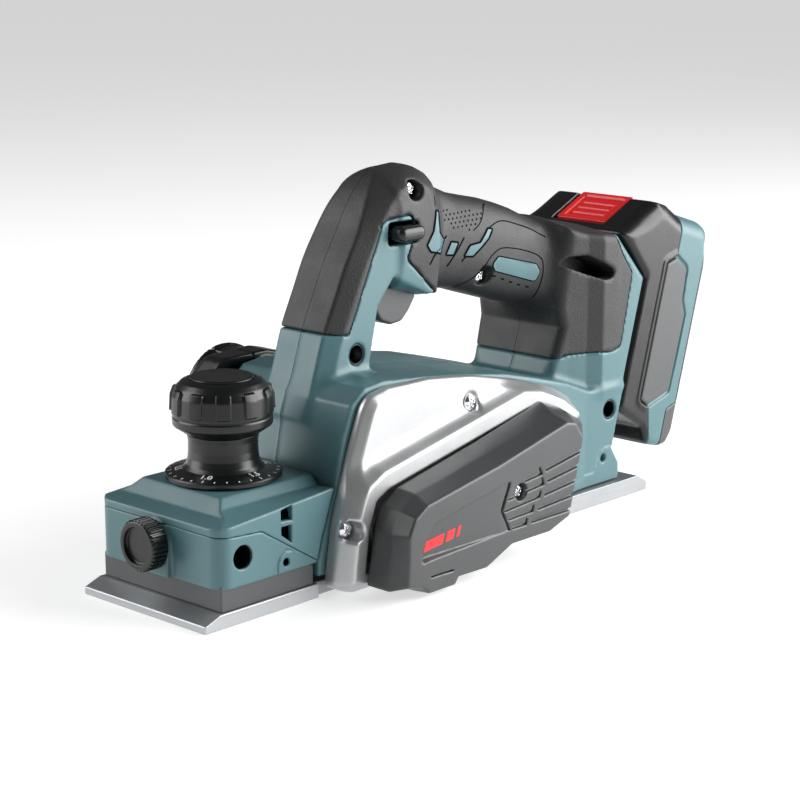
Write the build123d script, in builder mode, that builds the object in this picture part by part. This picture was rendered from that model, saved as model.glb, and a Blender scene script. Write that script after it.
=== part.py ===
from build123d import *
import math
import os

# Cordless hand planer. Millimetres, +X towards the heel and battery, +Z up, -Y the belt side.
# The origin is the middle of the rear sole. Side-view outlines are lists of (station, height):
# a station is the distance behind the nose of the front shoe.

# ---- Driving dimensions ------------------------------------------------------------------
ORIGIN_STATION = 217.0
PLANING_WIDTH = 82.0
SOLE_HALF = PLANING_WIDTH / 2
FRONT_SOLE_THICKNESS = 6.8
REAR_SOLE_THICKNESS = 9.0
REAR_SOLE_START = 118.0
REAR_SOLE_END = 317.0
SHOE_SCREW_STATIONS = (158, 262)
SHOE_SCREW_HALF = 30.0

CUT_RADIUS = 24.0
DRUM_STATION = 112.0
DRUM_HEIGHT = CUT_RADIUS
DRUM_RADIUS = 22.0
DRUM_HALF = 40.6
MOTOR_STATION = 188.0
MOTOR_HEIGHT = 44.0
DRUM_PULLEY_RADIUS = 13.0
MOTOR_PULLEY_RADIUS = 10.0
BELT_THICKNESS = 2.2

KNOB_STATION = 49.5
POD_FRONT = 9.3
POD_WALL = 3.0
POD_TOP = 53.6
FENCE_STATION = 22.9
FENCE_HEIGHT = 29.9
FENCE_RADIUS = 5.4
THUMB_HEIGHT = 32.0
NOZZLE = (118.0, 68.0)

FRAME_INNER = -41.0
FRAME_OUTER = -49.0
RIDGE_OUTER = -56.0
COVER_SHOULDER = -68.0
COVER_FACE = -78.0

STRUT_HALF = 20.0
GRIP_HALF = 19.0
PILLAR_HALF = 37.5
RUBBER = 2.5
SHELL = 3.0

BATTERY_TILT = 16.5
BATTERY_STATION = 314.6
BATTERY_HEIGHT = 24.2
BATTERY_HALF = 37.5
RAIL_GAP = 0.4

RUNNING = 0.05
CLEAR = 0.3

DRUM = (DRUM_STATION, DRUM_HEIGHT)
MOTOR = (MOTOR_STATION, MOTOR_HEIGHT)


# ---- Helpers -----------------------------------------------------------------------------
def sx(station):
    """X of a point given by its distance behind the nose."""
    return station - ORIGIN_STATION


def side(points):
    return [(sx(station), height) for station, height in points]


def slab(points, y_low, y_high, radius=0.0):
    """Solid cut to a side-view outline, between two distances from the centre plane."""
    with BuildPart() as solid:
        with BuildSketch(Plane.XZ.offset(-y_high)):
            with BuildLine():
                if radius:
                    FilletPolyline(*side(points), radius=radius, close=True)
                else:
                    Polyline(*side(points), close=True)
            make_face()
        extrude(amount=y_high - y_low)
    return solid.part


def crossbar(centre, outer, y_low, y_high, inner=0.0):
    """Round bar or tube across the tool."""
    with BuildPart() as bar:
        with BuildSketch(Plane.XZ.offset(-y_high)):
            with Locations((sx(centre[0]), centre[1])):
                Circle(outer)
                if inner:
                    Circle(inner, mode=Mode.SUBTRACT)
        extrude(amount=y_high - y_low)
    return bar.part


def post(station, y, outer, z_low, z_high, inner=0.0):
    """Upright round bar or tube."""
    with BuildPart() as bar:
        with BuildSketch(Plane.XY.offset(z_low)):
            with Locations((sx(station), y)):
                Circle(outer)
                if inner:
                    Circle(inner, mode=Mode.SUBTRACT)
        extrude(amount=z_high - z_low)
    return bar.part


def block(station_low, station_high, y_low, y_high, z_low, z_high):
    """Plain rectangular block, used for walls and cut-outs."""
    return slab(
        [(station_low, z_low), (station_high, z_low), (station_high, z_high), (station_low, z_high)],
        y_low, y_high)


def turned(points, station):
    """Solid of revolution about the upright axis at a station; points are (radius, height)."""
    with BuildPart() as solid:
        with BuildSketch(Plane.XZ):
            with BuildLine():
                Polyline(*[(sx(station) + radius, height) for radius, height in points], close=True)
            make_face()
        revolve(axis=Axis((sx(station), 0, 0), (0, 0, 1)))
    return solid.part


TILT = math.radians(BATTERY_TILT)
PACK = Plane(
    origin=(sx(BATTERY_STATION), 0, BATTERY_HEIGHT),
    x_dir=(math.cos(TILT), 0, -math.sin(TILT)),
    z_dir=(0, -1, 0),
)


def pack_slab(points, y_low, y_high, radius=0.0):
    """Solid in the battery's own tilted view; points are (behind its split, up its back)."""
    with BuildPart() as solid:
        with BuildSketch(PACK.offset(-y_high)):
            with BuildLine():
                if radius:
                    FilletPolyline(*points, radius=radius, close=True)
                else:
                    Polyline(*points, close=True)
            make_face()
        extrude(amount=y_high - y_low)
    return solid.part


def pack_block(s_low, s_high, y_low, y_high, t_low, t_high):
    return pack_slab([(s_low, t_low), (s_high, t_low), (s_high, t_high), (s_low, t_high)], y_low, y_high)


def from_pack(s, t):
    """Station and height of a point in the battery's tilted view."""
    return (BATTERY_STATION + s * math.cos(TILT) + t * math.sin(TILT),
            BATTERY_HEIGHT - s * math.sin(TILT) + t * math.cos(TILT))


def save(piece, name):
    piece.label = name
    export_step(piece, f"parts/{name}.step")
    print(f"{name}: {len(piece.solids())} solid(s), {piece.volume / 1000:.1f} cm3")


os.makedirs("parts", exist_ok=True)


# ---- Soles -------------------------------------------------------------------------------
def front_shoe():
    """Front sole with its nose bevel, curved throat edge, threaded boss and fence-side notch."""
    nose = [(0, 0), (0, 3.6), (8.9, FRONT_SOLE_THICKNESS), (98, FRONT_SOLE_THICKNESS), (98, 0)]
    with BuildPart() as shoe:
        add(slab(nose, -SOLE_HALF, SOLE_HALF))
        add(crossbar(DRUM, CUT_RADIUS + 5, -SOLE_HALF, SOLE_HALF), mode=Mode.SUBTRACT)
        add(block(69, 98, -SOLE_HALF, -38, -1, 10), mode=Mode.SUBTRACT)
        add(post(KNOB_STATION, 0, 9, FRONT_SOLE_THICKNESS, 26))
        add(post(KNOB_STATION, 0, 4 + RUNNING, 3, 27), mode=Mode.SUBTRACT)
    return shoe.part


def front_skirt():
    """Dust skirt that stands on the front shoe and telescopes inside the pod's lower lip."""
    outline = [(11, 6.8), (67, 6.8), (67, 16.3), (60, 17.6), (11, 18.6)]
    with BuildPart() as skirt:
        add(slab(outline, -39.6, 39.6))
        add(block(13, 65, -37.6, 37.6, 6, 20), mode=Mode.SUBTRACT)
    return skirt.part


def guide_posts():
    """Two steel posts that keep the front shoe level while it moves."""
    with BuildPart() as posts:
        for side_sign in (-1, 1):
            add(post(44, side_sign * 27, 3, FRONT_SOLE_THICKNESS, 30))
    return posts.part


def rear_shoe():
    """Rear sole with a bevelled heel and a curved throat edge behind the cutter drum."""
    outline = [(REAR_SOLE_START, 0), (REAR_SOLE_END - 1.2, 0), (REAR_SOLE_END, 0.7), (REAR_SOLE_END, 4.6),
               (309, REAR_SOLE_THICKNESS), (REAR_SOLE_START, REAR_SOLE_THICKNESS)]
    with BuildPart() as shoe:
        add(slab(outline, -SOLE_HALF, SOLE_HALF))
        add(crossbar(DRUM, CUT_RADIUS + 2, -SOLE_HALF, SOLE_HALF), mode=Mode.SUBTRACT)
        for station in SHOE_SCREW_STATIONS:
            for y in (-SHOE_SCREW_HALF, SHOE_SCREW_HALF):
                add(post(station, y, 2.2, -1, 10), mode=Mode.SUBTRACT)
                add(post(station, y, 4.4, -1, 3.0), mode=Mode.SUBTRACT)
    return shoe.part


def shoe_screws():
    """Four socket screws that hold the rear sole, sunk below its face."""
    with BuildPart() as screws:
        for station in SHOE_SCREW_STATIONS:
            for y in (-SHOE_SCREW_HALF, SHOE_SCREW_HALF):
                add(post(station, y, 4.1, 0.8, 3.0))
                add(post(station, y, 2.2, 3.0, 17))
                add(post(station, y, 1.7, 0.7, 2.2), mode=Mode.SUBTRACT)
    return screws.part


save(front_shoe(), "front_shoe")
save(front_skirt(), "front_skirt")
save(guide_posts(), "guide_posts")
save(rear_shoe(), "rear_shoe")
save(shoe_screws(), "shoe_screws")

# ---- Front pod ---------------------------------------------------------------------------
POD_SEAM = [(POD_FRONT - 1, 40.7), (34.3, 39.0), (68.4, 18.0)]


def pod_plan(z_low, z_high, inset, front_radius):
    """Upright block to the pod's plan, with its two front corners rounded."""
    with BuildPart() as solid:
        with BuildSketch(Plane.XY.offset(z_low)) as plan:
            with Locations(((sx(POD_FRONT) + inset + sx(82)) / 2, 0)):
                Rectangle(sx(82) - sx(POD_FRONT) - inset, PLANING_WIDTH - 2 * inset)
            fillet(plan.vertices().group_by(Axis.X)[0], front_radius)
        extrude(amount=z_high - z_low)
    return solid.part


def pod_lower():
    """Lower half of the pod: fence-rod sleeve, clamp boss, guide bushes and the skirt lip."""
    seam_under = [(station, height - 0.3) for station, height in POD_SEAM]
    with BuildPart() as pod:
        add(pod_plan(16.9, 41, 0, 7))
        add(slab([(0, 16)] + seam_under + [(68.2, 16)], -50, 50), mode=Mode.INTERSECT)
        add(pod_plan(19.8, 42, POD_WALL, 4), mode=Mode.SUBTRACT)
        add(block(10.7, 67.3, -39.9, 39.9, 16, 22.4), mode=Mode.SUBTRACT)
        add(slab([(64.9, 16), (70, 16), (70, 22.4), (64.9, 22.4)], -39.9, 39.9), mode=Mode.SUBTRACT)
        add(crossbar((FENCE_STATION, FENCE_HEIGHT), FENCE_RADIUS + 3, -SOLE_HALF, SOLE_HALF))
        add(block(POD_FRONT, FENCE_STATION, -9, 9, 23, 39))
        for side_sign in (-1, 1):
            add(post(44, side_sign * 27, 6, 22.4, 32.6))
            add(block(40, 48, side_sign * 33 - 6, side_sign * 33 + 6, 22.4, 30))
        for side_sign in (-1, 1):
            add(post(44, side_sign * 27, 3 + RUNNING, 16, 34), mode=Mode.SUBTRACT)
        add(crossbar((FENCE_STATION, FENCE_HEIGHT), FENCE_RADIUS, -50, 50), mode=Mode.SUBTRACT)
        add(crossbar((49.1, 22.8), 1.9, -50, -38), mode=Mode.SUBTRACT)
        with BuildSketch(Plane.YZ.offset(sx(POD_FRONT))):
            with Locations((0, THUMB_HEIGHT)):
                Circle(9)
        extrude(amount=-1.6)
        with BuildSketch(Plane.YZ.offset(sx(POD_FRONT) - 3)):
            with Locations((0, THUMB_HEIGHT)):
                Circle(3 + RUNNING)
        extrude(amount=15, mode=Mode.SUBTRACT)
    return pod.part


def pod_step(low, high):
    """Frustum between two outlines, square at the back and rounded at the front corners."""
    with BuildPart() as step:
        for plane, front, back, half_width, radius in (low, high):
            with BuildSketch(plane) as outline:
                with Locations(((front + back) / 2, 0)):
                    Rectangle(back - front, 2 * half_width)
                fillet(outline.vertices().group_by(Axis.X)[0], radius)
        loft(ruled=True)
    return step.part


def pod_upper():
    """Upper half of the pod: stepped top that carries the depth knob, and its side vents."""
    shoulder_low = 44.2
    slope = (49.9 - shoulder_low) / (80 - POD_FRONT)
    shoulder_plane = Plane(origin=(sx(POD_FRONT), 0, shoulder_low), x_dir=(1, 0, slope), z_dir=(-slope, 0, 1))
    wall = POD_SEAM + [(71.6, 28), (80.0, 49.9), (POD_FRONT - 1, shoulder_low)]
    shoulder = (shoulder_plane, 0, 70.6, SOLE_HALF, 7)
    ledge = (Plane.XY.offset(50), sx(18.8), sx(80.2), 30, 4)
    top = (Plane.XY.offset(POD_TOP), sx(25), sx(80.2), 26, 3)
    cavity = [(POD_FRONT + POD_WALL, 16), (65, 16), (74, 44), (74, 46.2), (POD_FRONT + POD_WALL, 41.5)]
    with BuildPart() as pod:
        add(pod_plan(16.9, 52, 0, 7))
        add(slab(wall, -50, 50), mode=Mode.INTERSECT)
        add(pod_step(shoulder, ledge))
        add(pod_step(ledge, top))
        add(slab(cavity, -SOLE_HALF + POD_WALL, SOLE_HALF - POD_WALL), mode=Mode.SUBTRACT)
        add(post(KNOB_STATION, 0, 12, 41, 51))
        add(post(KNOB_STATION, 0, 7 + RUNNING, 38, 60), mode=Mode.SUBTRACT)
        for low, high in ((-50, -37), (37, 50)):
            add(slab([(46.1, 41), (52.8, 40.4), (52.8, 47.2), (46.1, 46)], low, high), mode=Mode.SUBTRACT)
            add(slab([(46.3, 34), (52.5, 30), (52.5, 38.2), (46.3, 38.2)], low, high), mode=Mode.SUBTRACT)
    return pod.part


save(pod_lower(), "pod_lower")
save(pod_upper(), "pod_upper")


# ---- Depth knob --------------------------------------------------------------------------
def knob_dial():
    """Graduated disc with the knob's waisted neck."""
    neck = [(4, 53.9), (26.9, 53.9), (26.9, 56.6), (20.5, 58.8), (17.2, 61.5), (16.1, 65), (16.1, 74), (4, 74)]
    return turned(neck, KNOB_STATION)


def knob_cap():
    """Soft cap with eleven broad pads between thin grooves, and a recessed top."""
    count = 11
    bowl = [(0, 74), (16.3, 74), (23.2, 78.6), (23.5, 82.4), (23.5, 94.3), (22.4, 96.4), (19.6, 98.2),
            (16, 99.9), (14.8, 99.9), (14.8, 99.0), (0, 99.0)]
    with BuildPart() as cap:
        add(turned(bowl, KNOB_STATION))
        with BuildSketch(Plane.XY.offset(84)):
            with Locations((sx(KNOB_STATION), 0)):
                with PolarLocations(23.7, count):
                    Rectangle(2.0, 3.6)
        extrude(amount=11, mode=Mode.SUBTRACT)
    return cap.part


def knob_disc():
    """Plain disc pressed into the top of the knob."""
    return post(KNOB_STATION, 0, 14.6, 99.0, 100.5)


def adjust_screw():
    """Depth screw with a collar that turns in the pod's boss."""
    with BuildPart() as screw:
        add(post(KNOB_STATION, 0, 4, 9.5, 74))
        add(post(KNOB_STATION, 0, 7, 44, 53.9))
    return screw.part


save(knob_dial(), "knob_dial")
save(knob_cap(), "knob_cap")
save(knob_disc(), "knob_disc")
save(adjust_screw(), "adjust_screw")


# ---- Fence clamp -------------------------------------------------------------------------
def bar_along_x(station_low, station_high, height, outer, inner=0.0):
    with BuildPart() as bar:
        with BuildSketch(Plane.YZ.offset(sx(station_low))):
            with Locations((0, height)):
                Circle(outer)
                if inner:
                    Circle(inner, mode=Mode.SUBTRACT)
        extrude(amount=station_high - station_low)
    return bar.part


def thumb_knob():
    """Knurled clamp knob with a recessed face."""
    teeth = 40
    with BuildPart() as knob:
        add(bar_along_x(-3, 7.3, THUMB_HEIGHT, 12))
        add(bar_along_x(-3, -1.4, THUMB_HEIGHT, 8.6), mode=Mode.SUBTRACT)
        with BuildSketch(Plane.YZ.offset(sx(-1.6))):
            with Locations((0, THUMB_HEIGHT)):
                with PolarLocations(12, teeth):
                    Circle(0.55)
        extrude(amount=8.9, mode=Mode.SUBTRACT)
    return knob.part


def clamp_screw():
    return bar_along_x(7.3, 13.6, THUMB_HEIGHT, 3)


def clamp_pad():
    return bar_along_x(14.0, 16.8, THUMB_HEIGHT, 3 - RUNNING)


save(thumb_knob(), "thumb_knob")
save(clamp_screw(), "clamp_screw")
save(clamp_pad(), "clamp_pad")

# ---- Belt side frame ---------------------------------------------------------------------
FRAME_OUTLINE = [(71.5, 5), (74.5, 24), (76.4, 36), (86, 64), (94.1, 84.6), (99, 89.4), (109.4, 91.4),
                 (138.4, 91.2), (168.9, 87.6), (200.8, 80.6), (228.7, 72), (243, 64.4), (245.5, 60),
                 (242, 54.5), (214, 38), (207, 14), (192, 10), (160, 10), (142, 3.5), (80, 2)]
RIDGE_OUTLINE = [(76, 3.6), (79.6, 32.4), (85.5, 48.7), (96, 54.1), (196.6, 75.1), (210.3, 73.6),
                 (226, 66), (241, 55.5), (212, 38), (205.5, 13), (190, 8.6), (161, 8.6), (143, 3), (124, 2.6)]


BEARING_OUTER = 11.0
SHAFT_RADIUS = 5.0
MOTOR_SHAFT_RADIUS = 4.0
COVER_SCREW = (167.1, 36.6)
FRAME_SCREWS = [(163.8, 76.0), (78.9, 31.6)]


def ridge(depth, inset):
    """Raised wall on the frame's outer face; the inset copy is the belt chamber."""
    with BuildPart() as wall:
        with BuildSketch(Plane.XZ.offset(-FRAME_OUTER)):
            with BuildLine():
                Polyline(*side(RIDGE_OUTLINE), close=True)
            make_face()
            if inset:
                offset(amount=-inset, mode=Mode.REPLACE)
        extrude(amount=depth)
    return wall.part


def belt_frame():
    """Die-cast side frame: bearing seats, belt chamber wall and screw pockets."""
    with BuildPart() as frame:
        add(slab(FRAME_OUTLINE, FRAME_OUTER, FRAME_INNER))
        add(ridge(FRAME_OUTER - RIDGE_OUTER, 0))
        add(ridge(FRAME_OUTER - RIDGE_OUTER, 4.5), mode=Mode.SUBTRACT)
        add(crossbar(COVER_SCREW, 5, RIDGE_OUTER, FRAME_OUTER))
        add(crossbar(COVER_SCREW, 2.0, -60, -45), mode=Mode.SUBTRACT)
        for centre in FRAME_SCREWS:
            add(crossbar(centre, 5, -60, -47), mode=Mode.SUBTRACT)
            add(crossbar(centre, 2.0, -50, -40), mode=Mode.SUBTRACT)
        for centre, radius in ((DRUM, SHAFT_RADIUS + 1.5), (MOTOR, MOTOR_SHAFT_RADIUS + 1.5)):
            add(crossbar(centre, BEARING_OUTER, -47.9, -40), mode=Mode.SUBTRACT)
            add(crossbar(centre, radius, -60, -45), mode=Mode.SUBTRACT)
    return frame.part


def frame_screws():
    """Two button-head screws in the frame's pockets."""
    with BuildPart() as screws:
        for centre in FRAME_SCREWS:
            add(crossbar(centre, 3.9, -50, -47))
            add(crossbar(centre, 2.0, -47, -39))
            add(crossbar(centre, 1.6, -51, -48.2), mode=Mode.SUBTRACT)
    return screws.part


# Belt cover outlines at its foot, its shoulder and its face, point for point.
COVER_FOOT = [(84, 5.5), (89.2, 30.1), (93.5, 41.5), (104, 48), (157.7, 59.3), (206.7, 70.7),
              (218, 66.5), (239.5, 55), (212.5, 39), (206.5, 13.5), (191, 9.5), (161, 9.5), (143, 3.4),
              (123, 3.4), (120.7, 0.8), (103, 0.8), (98.5, 3.6)]
COVER_MIDDLE = [(86, 4.5), (88.4, 30.5), (93.4, 41), (103.8, 46.8), (155, 56.6), (202.5, 66.5),
                (212.6, 66), (226, 56.5), (212.5, 39.5), (206, 14), (190.5, 10.2), (161, 10.2), (143, 3.8),
                (123, 3.8), (120.7, 1.2), (103, 1.2), (98.5, 4)]
COVER_OUTER = [(89, 8), (90, 31.5), (93.9, 39), (101.5, 43.7), (150.2, 52.2), (201.5, 64),
               (208, 62.5), (213.6, 53.9), (210.6, 40.2), (204.3, 17.1), (189.3, 12.3), (161.2, 12.4),
               (143.2, 5), (123.1, 5.3), (120.7, 2), (103, 2), (98.7, 5.6)]
COVER_CHAMBER = [(92, 10), (93.5, 31), (97.5, 39), (105, 43.5), (157, 54), (200, 61.5), (207, 58),
                 (206.5, 40), (201, 19), (188, 15), (158, 15), (141, 8), (100, 8)]
COVER_SLOTS = [((185.8, 43.8), (211.5, 47.9)), ((187.3, 38.2), (209.5, 40.9)), ((185, 31.8), (207.5, 33.9)),
               ((180.2, 25.7), (205.6, 27)), ((175.6, 20.3), (204.5, 20.3))]


def belt_cover():
    """Faceted belt cover with a hollow inside, five cooling slots and one screw pocket."""
    with BuildPart() as cover:
        for depth, outline in ((RIDGE_OUTER, COVER_FOOT), (COVER_SHOULDER, COVER_MIDDLE), (COVER_FACE, COVER_OUTER)):
            with BuildSketch(Plane.XZ.offset(-depth)):
                with BuildLine():
                    Polyline(*side(outline), close=True)
                make_face()
        loft(ruled=True)
        add(slab(COVER_CHAMBER, -75.5, -50), mode=Mode.SUBTRACT)
        add(crossbar(COVER_SCREW, 5, -76, RIDGE_OUTER))
        add(crossbar(COVER_SCREW, 4.2, -80, -73.5), mode=Mode.SUBTRACT)
        add(crossbar(COVER_SCREW, 2.0 + RUNNING, -80, -50), mode=Mode.SUBTRACT)
        for start, end in COVER_SLOTS:
            rise = (end[1] - start[1]) / (end[0] - start[0])
            low = [(start[0], start[1] - 0.7), (end[0] + 3, end[1] + 3 * rise - 0.7)]
            high = [(end[0] + 3, end[1] + 3 * rise + 0.7), (start[0], start[1] + 0.7)]
            add(slab(low + high, -80, -74), mode=Mode.SUBTRACT)
    return cover.part


def cover_screw():
    with BuildPart() as screw:
        add(crossbar(COVER_SCREW, 3.9, -76.5, -73.5))
        add(crossbar(COVER_SCREW, 2.0, -73.5, -46))
        add(crossbar(COVER_SCREW, 1.6, -77, -75), mode=Mode.SUBTRACT)
    return screw.part


save(belt_frame(), "belt_frame")
save(frame_screws(), "frame_screws")
save(belt_cover(), "belt_cover")
save(cover_screw(), "cover_screw")

# ---- Cutter drum -------------------------------------------------------------------------
STUB_RADIUS = 5.0
BLADE_COUNT = 2
BLADE_PHASE = 25.0
BLADE_THICKNESS = 1.2


def drum_place(angle):
    """Side-view plane on the drum's axis, turned so its local X points along a blade."""
    turn = math.radians(angle)
    return Plane(origin=(sx(DRUM_STATION), 0, DRUM_HEIGHT), x_dir=(math.cos(turn), 0, math.sin(turn)),
                 z_dir=(0, -1, 0))


def radial_block(angle, r_low, r_high, t_low, t_high, y_low, y_high):
    with BuildPart() as solid:
        with BuildSketch(drum_place(angle).offset(-y_high)):
            with Locations(((r_low + r_high) / 2, (t_low + t_high) / 2)):
                Rectangle(r_high - r_low, t_high - t_low)
        extrude(amount=y_high - y_low)
    return solid.part


def blade_angles():
    return [BLADE_PHASE + index * 360 / BLADE_COUNT for index in range(BLADE_COUNT)]


def cutter_drum():
    """Drum body with a seat for each blade clamp, a chip gullet ahead of it, and end bores."""
    with BuildPart() as drum:
        add(crossbar(DRUM, DRUM_RADIUS, -DRUM_HALF, DRUM_HALF))
        for angle in blade_angles():
            add(radial_block(angle, 12, 25, 0, 7.4, -DRUM_HALF, DRUM_HALF), mode=Mode.SUBTRACT)
            add(radial_block(angle, 17, 25, 7.4, 11, -DRUM_HALF, DRUM_HALF), mode=Mode.SUBTRACT)
        add(crossbar(DRUM, SHAFT_RADIUS, -DRUM_HALF, 5), mode=Mode.SUBTRACT)
        add(crossbar(DRUM, BEARING_OUTER + RUNNING, 32.5, DRUM_HALF), mode=Mode.SUBTRACT)
        add(crossbar(DRUM, STUB_RADIUS + 1.5, 27, 33), mode=Mode.SUBTRACT)
    return drum.part


def cutter_blades():
    """Two reversible planer knives, set just proud of the drum."""
    with BuildPart() as blades:
        for angle in blade_angles():
            add(radial_block(angle, 14, CUT_RADIUS - 0.1, 0, BLADE_THICKNESS, -DRUM_HALF, DRUM_HALF))
    return blades.part


def blade_clamps():
    with BuildPart() as clamps:
        for angle in blade_angles():
            add(radial_block(angle, 12, 20.2, BLADE_THICKNESS, 7.4, -DRUM_HALF + 0.6, DRUM_HALF - 0.6))
            for y in (-27, 0, 27):
                add(radial_block(angle, 16, 21, 2.2, 6.6, y - 2.2, y + 2.2), mode=Mode.SUBTRACT)
    return clamps.part


def blade_screws():
    """Square-recess set screws, three to each clamp."""
    with BuildPart() as screws:
        for angle in blade_angles():
            for y in (-27, 0, 27):
                add(radial_block(angle, 16, 20.6, 2.2, 6.6, y - 2.2, y + 2.2))
                add(radial_block(angle, 19, 21, 3.4, 5.4, y - 1.0, y + 1.0), mode=Mode.SUBTRACT)
    return screws.part


def drum_shaft():
    return crossbar(DRUM, SHAFT_RADIUS, -75, 5)


def pulley(centre, radius, bore):
    """Ribbed pulley with a rim on its inner side."""
    with BuildPart() as wheel:
        add(crossbar(centre, radius, -73.5, -60))
        add(crossbar(centre, radius + 1.6, -60, -58.5))
        for rib in range(4):
            start = -71.6 + rib * 3
            add(crossbar(centre, radius + 1, start, start + 1.2, inner=radius - 0.8), mode=Mode.SUBTRACT)
        add(crossbar(centre, bore, -80, -50), mode=Mode.SUBTRACT)
    return wheel.part


def belt_loop(extra):
    """Solid loop round both pulleys, at a distance outside them."""
    with BuildPart() as loop:
        with BuildSketch(Plane.XZ.offset(61)):
            with Locations((sx(DRUM_STATION), DRUM_HEIGHT)):
                Circle(DRUM_PULLEY_RADIUS + extra)
            with Locations((sx(MOTOR_STATION), MOTOR_HEIGHT)):
                Circle(MOTOR_PULLEY_RADIUS + extra)
            make_hull()
        extrude(amount=12)
    return loop.part


def drive_belt():
    with BuildPart() as belt:
        add(belt_loop(CLEAR + BELT_THICKNESS))
        add(belt_loop(CLEAR), mode=Mode.SUBTRACT)
    return belt.part


def drum_bearings():
    """Ball bearings at both ends of the drum."""
    with BuildPart() as bearings:
        add(crossbar(DRUM, BEARING_OUTER, -47.9, -41.1, inner=SHAFT_RADIUS + RUNNING))
        add(crossbar(DRUM, BEARING_OUTER, 33, 40, inner=STUB_RADIUS))
    return bearings.part


def drum_side_plate():
    """Right-hand plate that closes the drum housing and carries the stub axle."""
    outline = [(84, 16), (80.5, 40), (92, 58), (134, 58), (147, 34), (147, 9.3), (120, 9.3), (98, 11)]
    with BuildPart() as plate:
        add(slab(outline, 41.3, 44.3, radius=3))
        add(crossbar(DRUM, STUB_RADIUS, 28, 41.3))
    return plate.part


def drum_hood():
    """Cast hood over the drum, with the window through which the chips leave."""
    with BuildPart() as hood:
        add(crossbar(DRUM, CUT_RADIUS + 5, FRAME_INNER, 41.3, inner=CUT_RADIUS + 2))
        add(block(60, 160, -50, 50, -10, 9.3), mode=Mode.SUBTRACT)
        add(block(60, 100, -50, 50, 0, 15), mode=Mode.SUBTRACT)
        add(block(96, 128, 6, 38, 44, 60), mode=Mode.SUBTRACT)
    return hood.part


save(cutter_drum(), "cutter_drum")
save(cutter_blades(), "cutter_blades")
save(blade_clamps(), "blade_clamps")
save(blade_screws(), "blade_screws")
save(drum_shaft(), "drum_shaft")
save(pulley(DRUM, DRUM_PULLEY_RADIUS, SHAFT_RADIUS), "drum_pulley")
save(drive_belt(), "drive_belt")
save(drum_bearings(), "drum_bearings")
save(drum_side_plate(), "drum_side_plate")
save(drum_hood(), "drum_hood")

# ---- Motor -------------------------------------------------------------------------------
MOTOR_RADIUS = 27.0
ROTOR_RADIUS = 15.5
POLES = 6


def motor_stator():
    """Laminated stator ring with six inward teeth."""
    with BuildPart() as stator:
        add(crossbar(MOTOR, MOTOR_RADIUS, -14, 18, inner=MOTOR_RADIUS - 4))
        with BuildSketch(Plane.XZ.offset(-18)):
            with Locations((sx(MOTOR_STATION), MOTOR_HEIGHT)):
                with PolarLocations((ROTOR_RADIUS + MOTOR_RADIUS - 3) / 2 + 0.5, POLES):
                    Rectangle(MOTOR_RADIUS - 3.2 - ROTOR_RADIUS, 5)
        extrude(amount=32)
    return stator.part


def stator_windings():
    """Copper coils, one round each stator tooth."""
    with BuildPart() as coils:
        with BuildSketch(Plane.XZ.offset(-21)):
            with Locations((sx(MOTOR_STATION), MOTOR_HEIGHT)):
                with PolarLocations(19.8, POLES):
                    Rectangle(5, 10)
                    Rectangle(5, 5.2, mode=Mode.SUBTRACT)
        extrude(amount=38)
    return coils.part


def rotor_core():
    return crossbar(MOTOR, ROTOR_RADIUS, -13, 17, inner=MOTOR_SHAFT_RADIUS)


def motor_shaft():
    return crossbar(MOTOR, MOTOR_SHAFT_RADIUS, -75, 37)


def motor_fan():
    """Cooling fan: a disc with nine blades."""
    with BuildPart() as fan:
        add(crossbar(MOTOR, 24, 23, 24.2))
        add(crossbar(MOTOR, 7, 23, 29))
        with BuildSketch(Plane.XZ.offset(-29)):
            with Locations((sx(MOTOR_STATION), MOTOR_HEIGHT)):
                with PolarLocations(15, 9):
                    Rectangle(17, 1.4)
        extrude(amount=5.5)
        add(crossbar(MOTOR, MOTOR_SHAFT_RADIUS, 20, 32), mode=Mode.SUBTRACT)
    return fan.part


def motor_bearings():
    with BuildPart() as bearings:
        add(crossbar(MOTOR, BEARING_OUTER, -47.9, -41.1, inner=MOTOR_SHAFT_RADIUS + RUNNING))
        add(crossbar(MOTOR, 9, 31.2, 37.4, inner=MOTOR_SHAFT_RADIUS + RUNNING))
    return bearings.part


def motor_bracket():
    """End bracket that holds the motor's right-hand bearing against the housing wall."""
    with BuildPart() as bracket:
        add(crossbar(MOTOR, 14, 31.2, 38, inner=9))
        add(crossbar(MOTOR, 24, 35, 38, inner=9))
    return bracket.part


save(motor_stator(), "motor_stator")
save(stator_windings(), "stator_windings")
save(rotor_core(), "rotor_core")
save(motor_shaft(), "motor_shaft")
save(motor_fan(), "motor_fan")
save(pulley(MOTOR, MOTOR_PULLEY_RADIUS, MOTOR_SHAFT_RADIUS), "motor_pulley")
save(motor_bearings(), "motor_bearings")
save(motor_bracket(), "motor_bracket")


# ---- Housing -----------------------------------------------------------------------------
BACK_FACE = -23.3
SHOULDER = from_pack(BACK_FACE, 88)
BACK_LOW = from_pack(BACK_FACE, 12)
BACK_MID = from_pack(BACK_FACE, 30)
BODY_OUTLINE = [(69.2, 9.6), (69.2, 17), (72.4, 28), (80.8, 50), (85.5, 72), (90.5, 85.5), (99.4, 92.6),
                (112, 94), (140, 91.6), (169, 88), (200, 83), (220, 78), (250, 70), (272, 61.4),
                BACK_MID, BACK_LOW, (291.5, 27.1), (297.5, 18.4), (297.7, 9), (146, 9)]
BODY_CAVITY = [(72.5, 5), (72.5, 17), (75.6, 28), (83.8, 50), (88.5, 71), (93, 83.5), (100.5, 89.2),
               (112, 90.8), (140, 88.4), (169, 84.8), (200, 79.8), (220, 74.8), (250, 67), (266, 60),
               from_pack(-27, 30), from_pack(-27, 12), (288.5, 27), (294, 18), (294, 12), (146, 12),
               (146, 5)]
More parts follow.
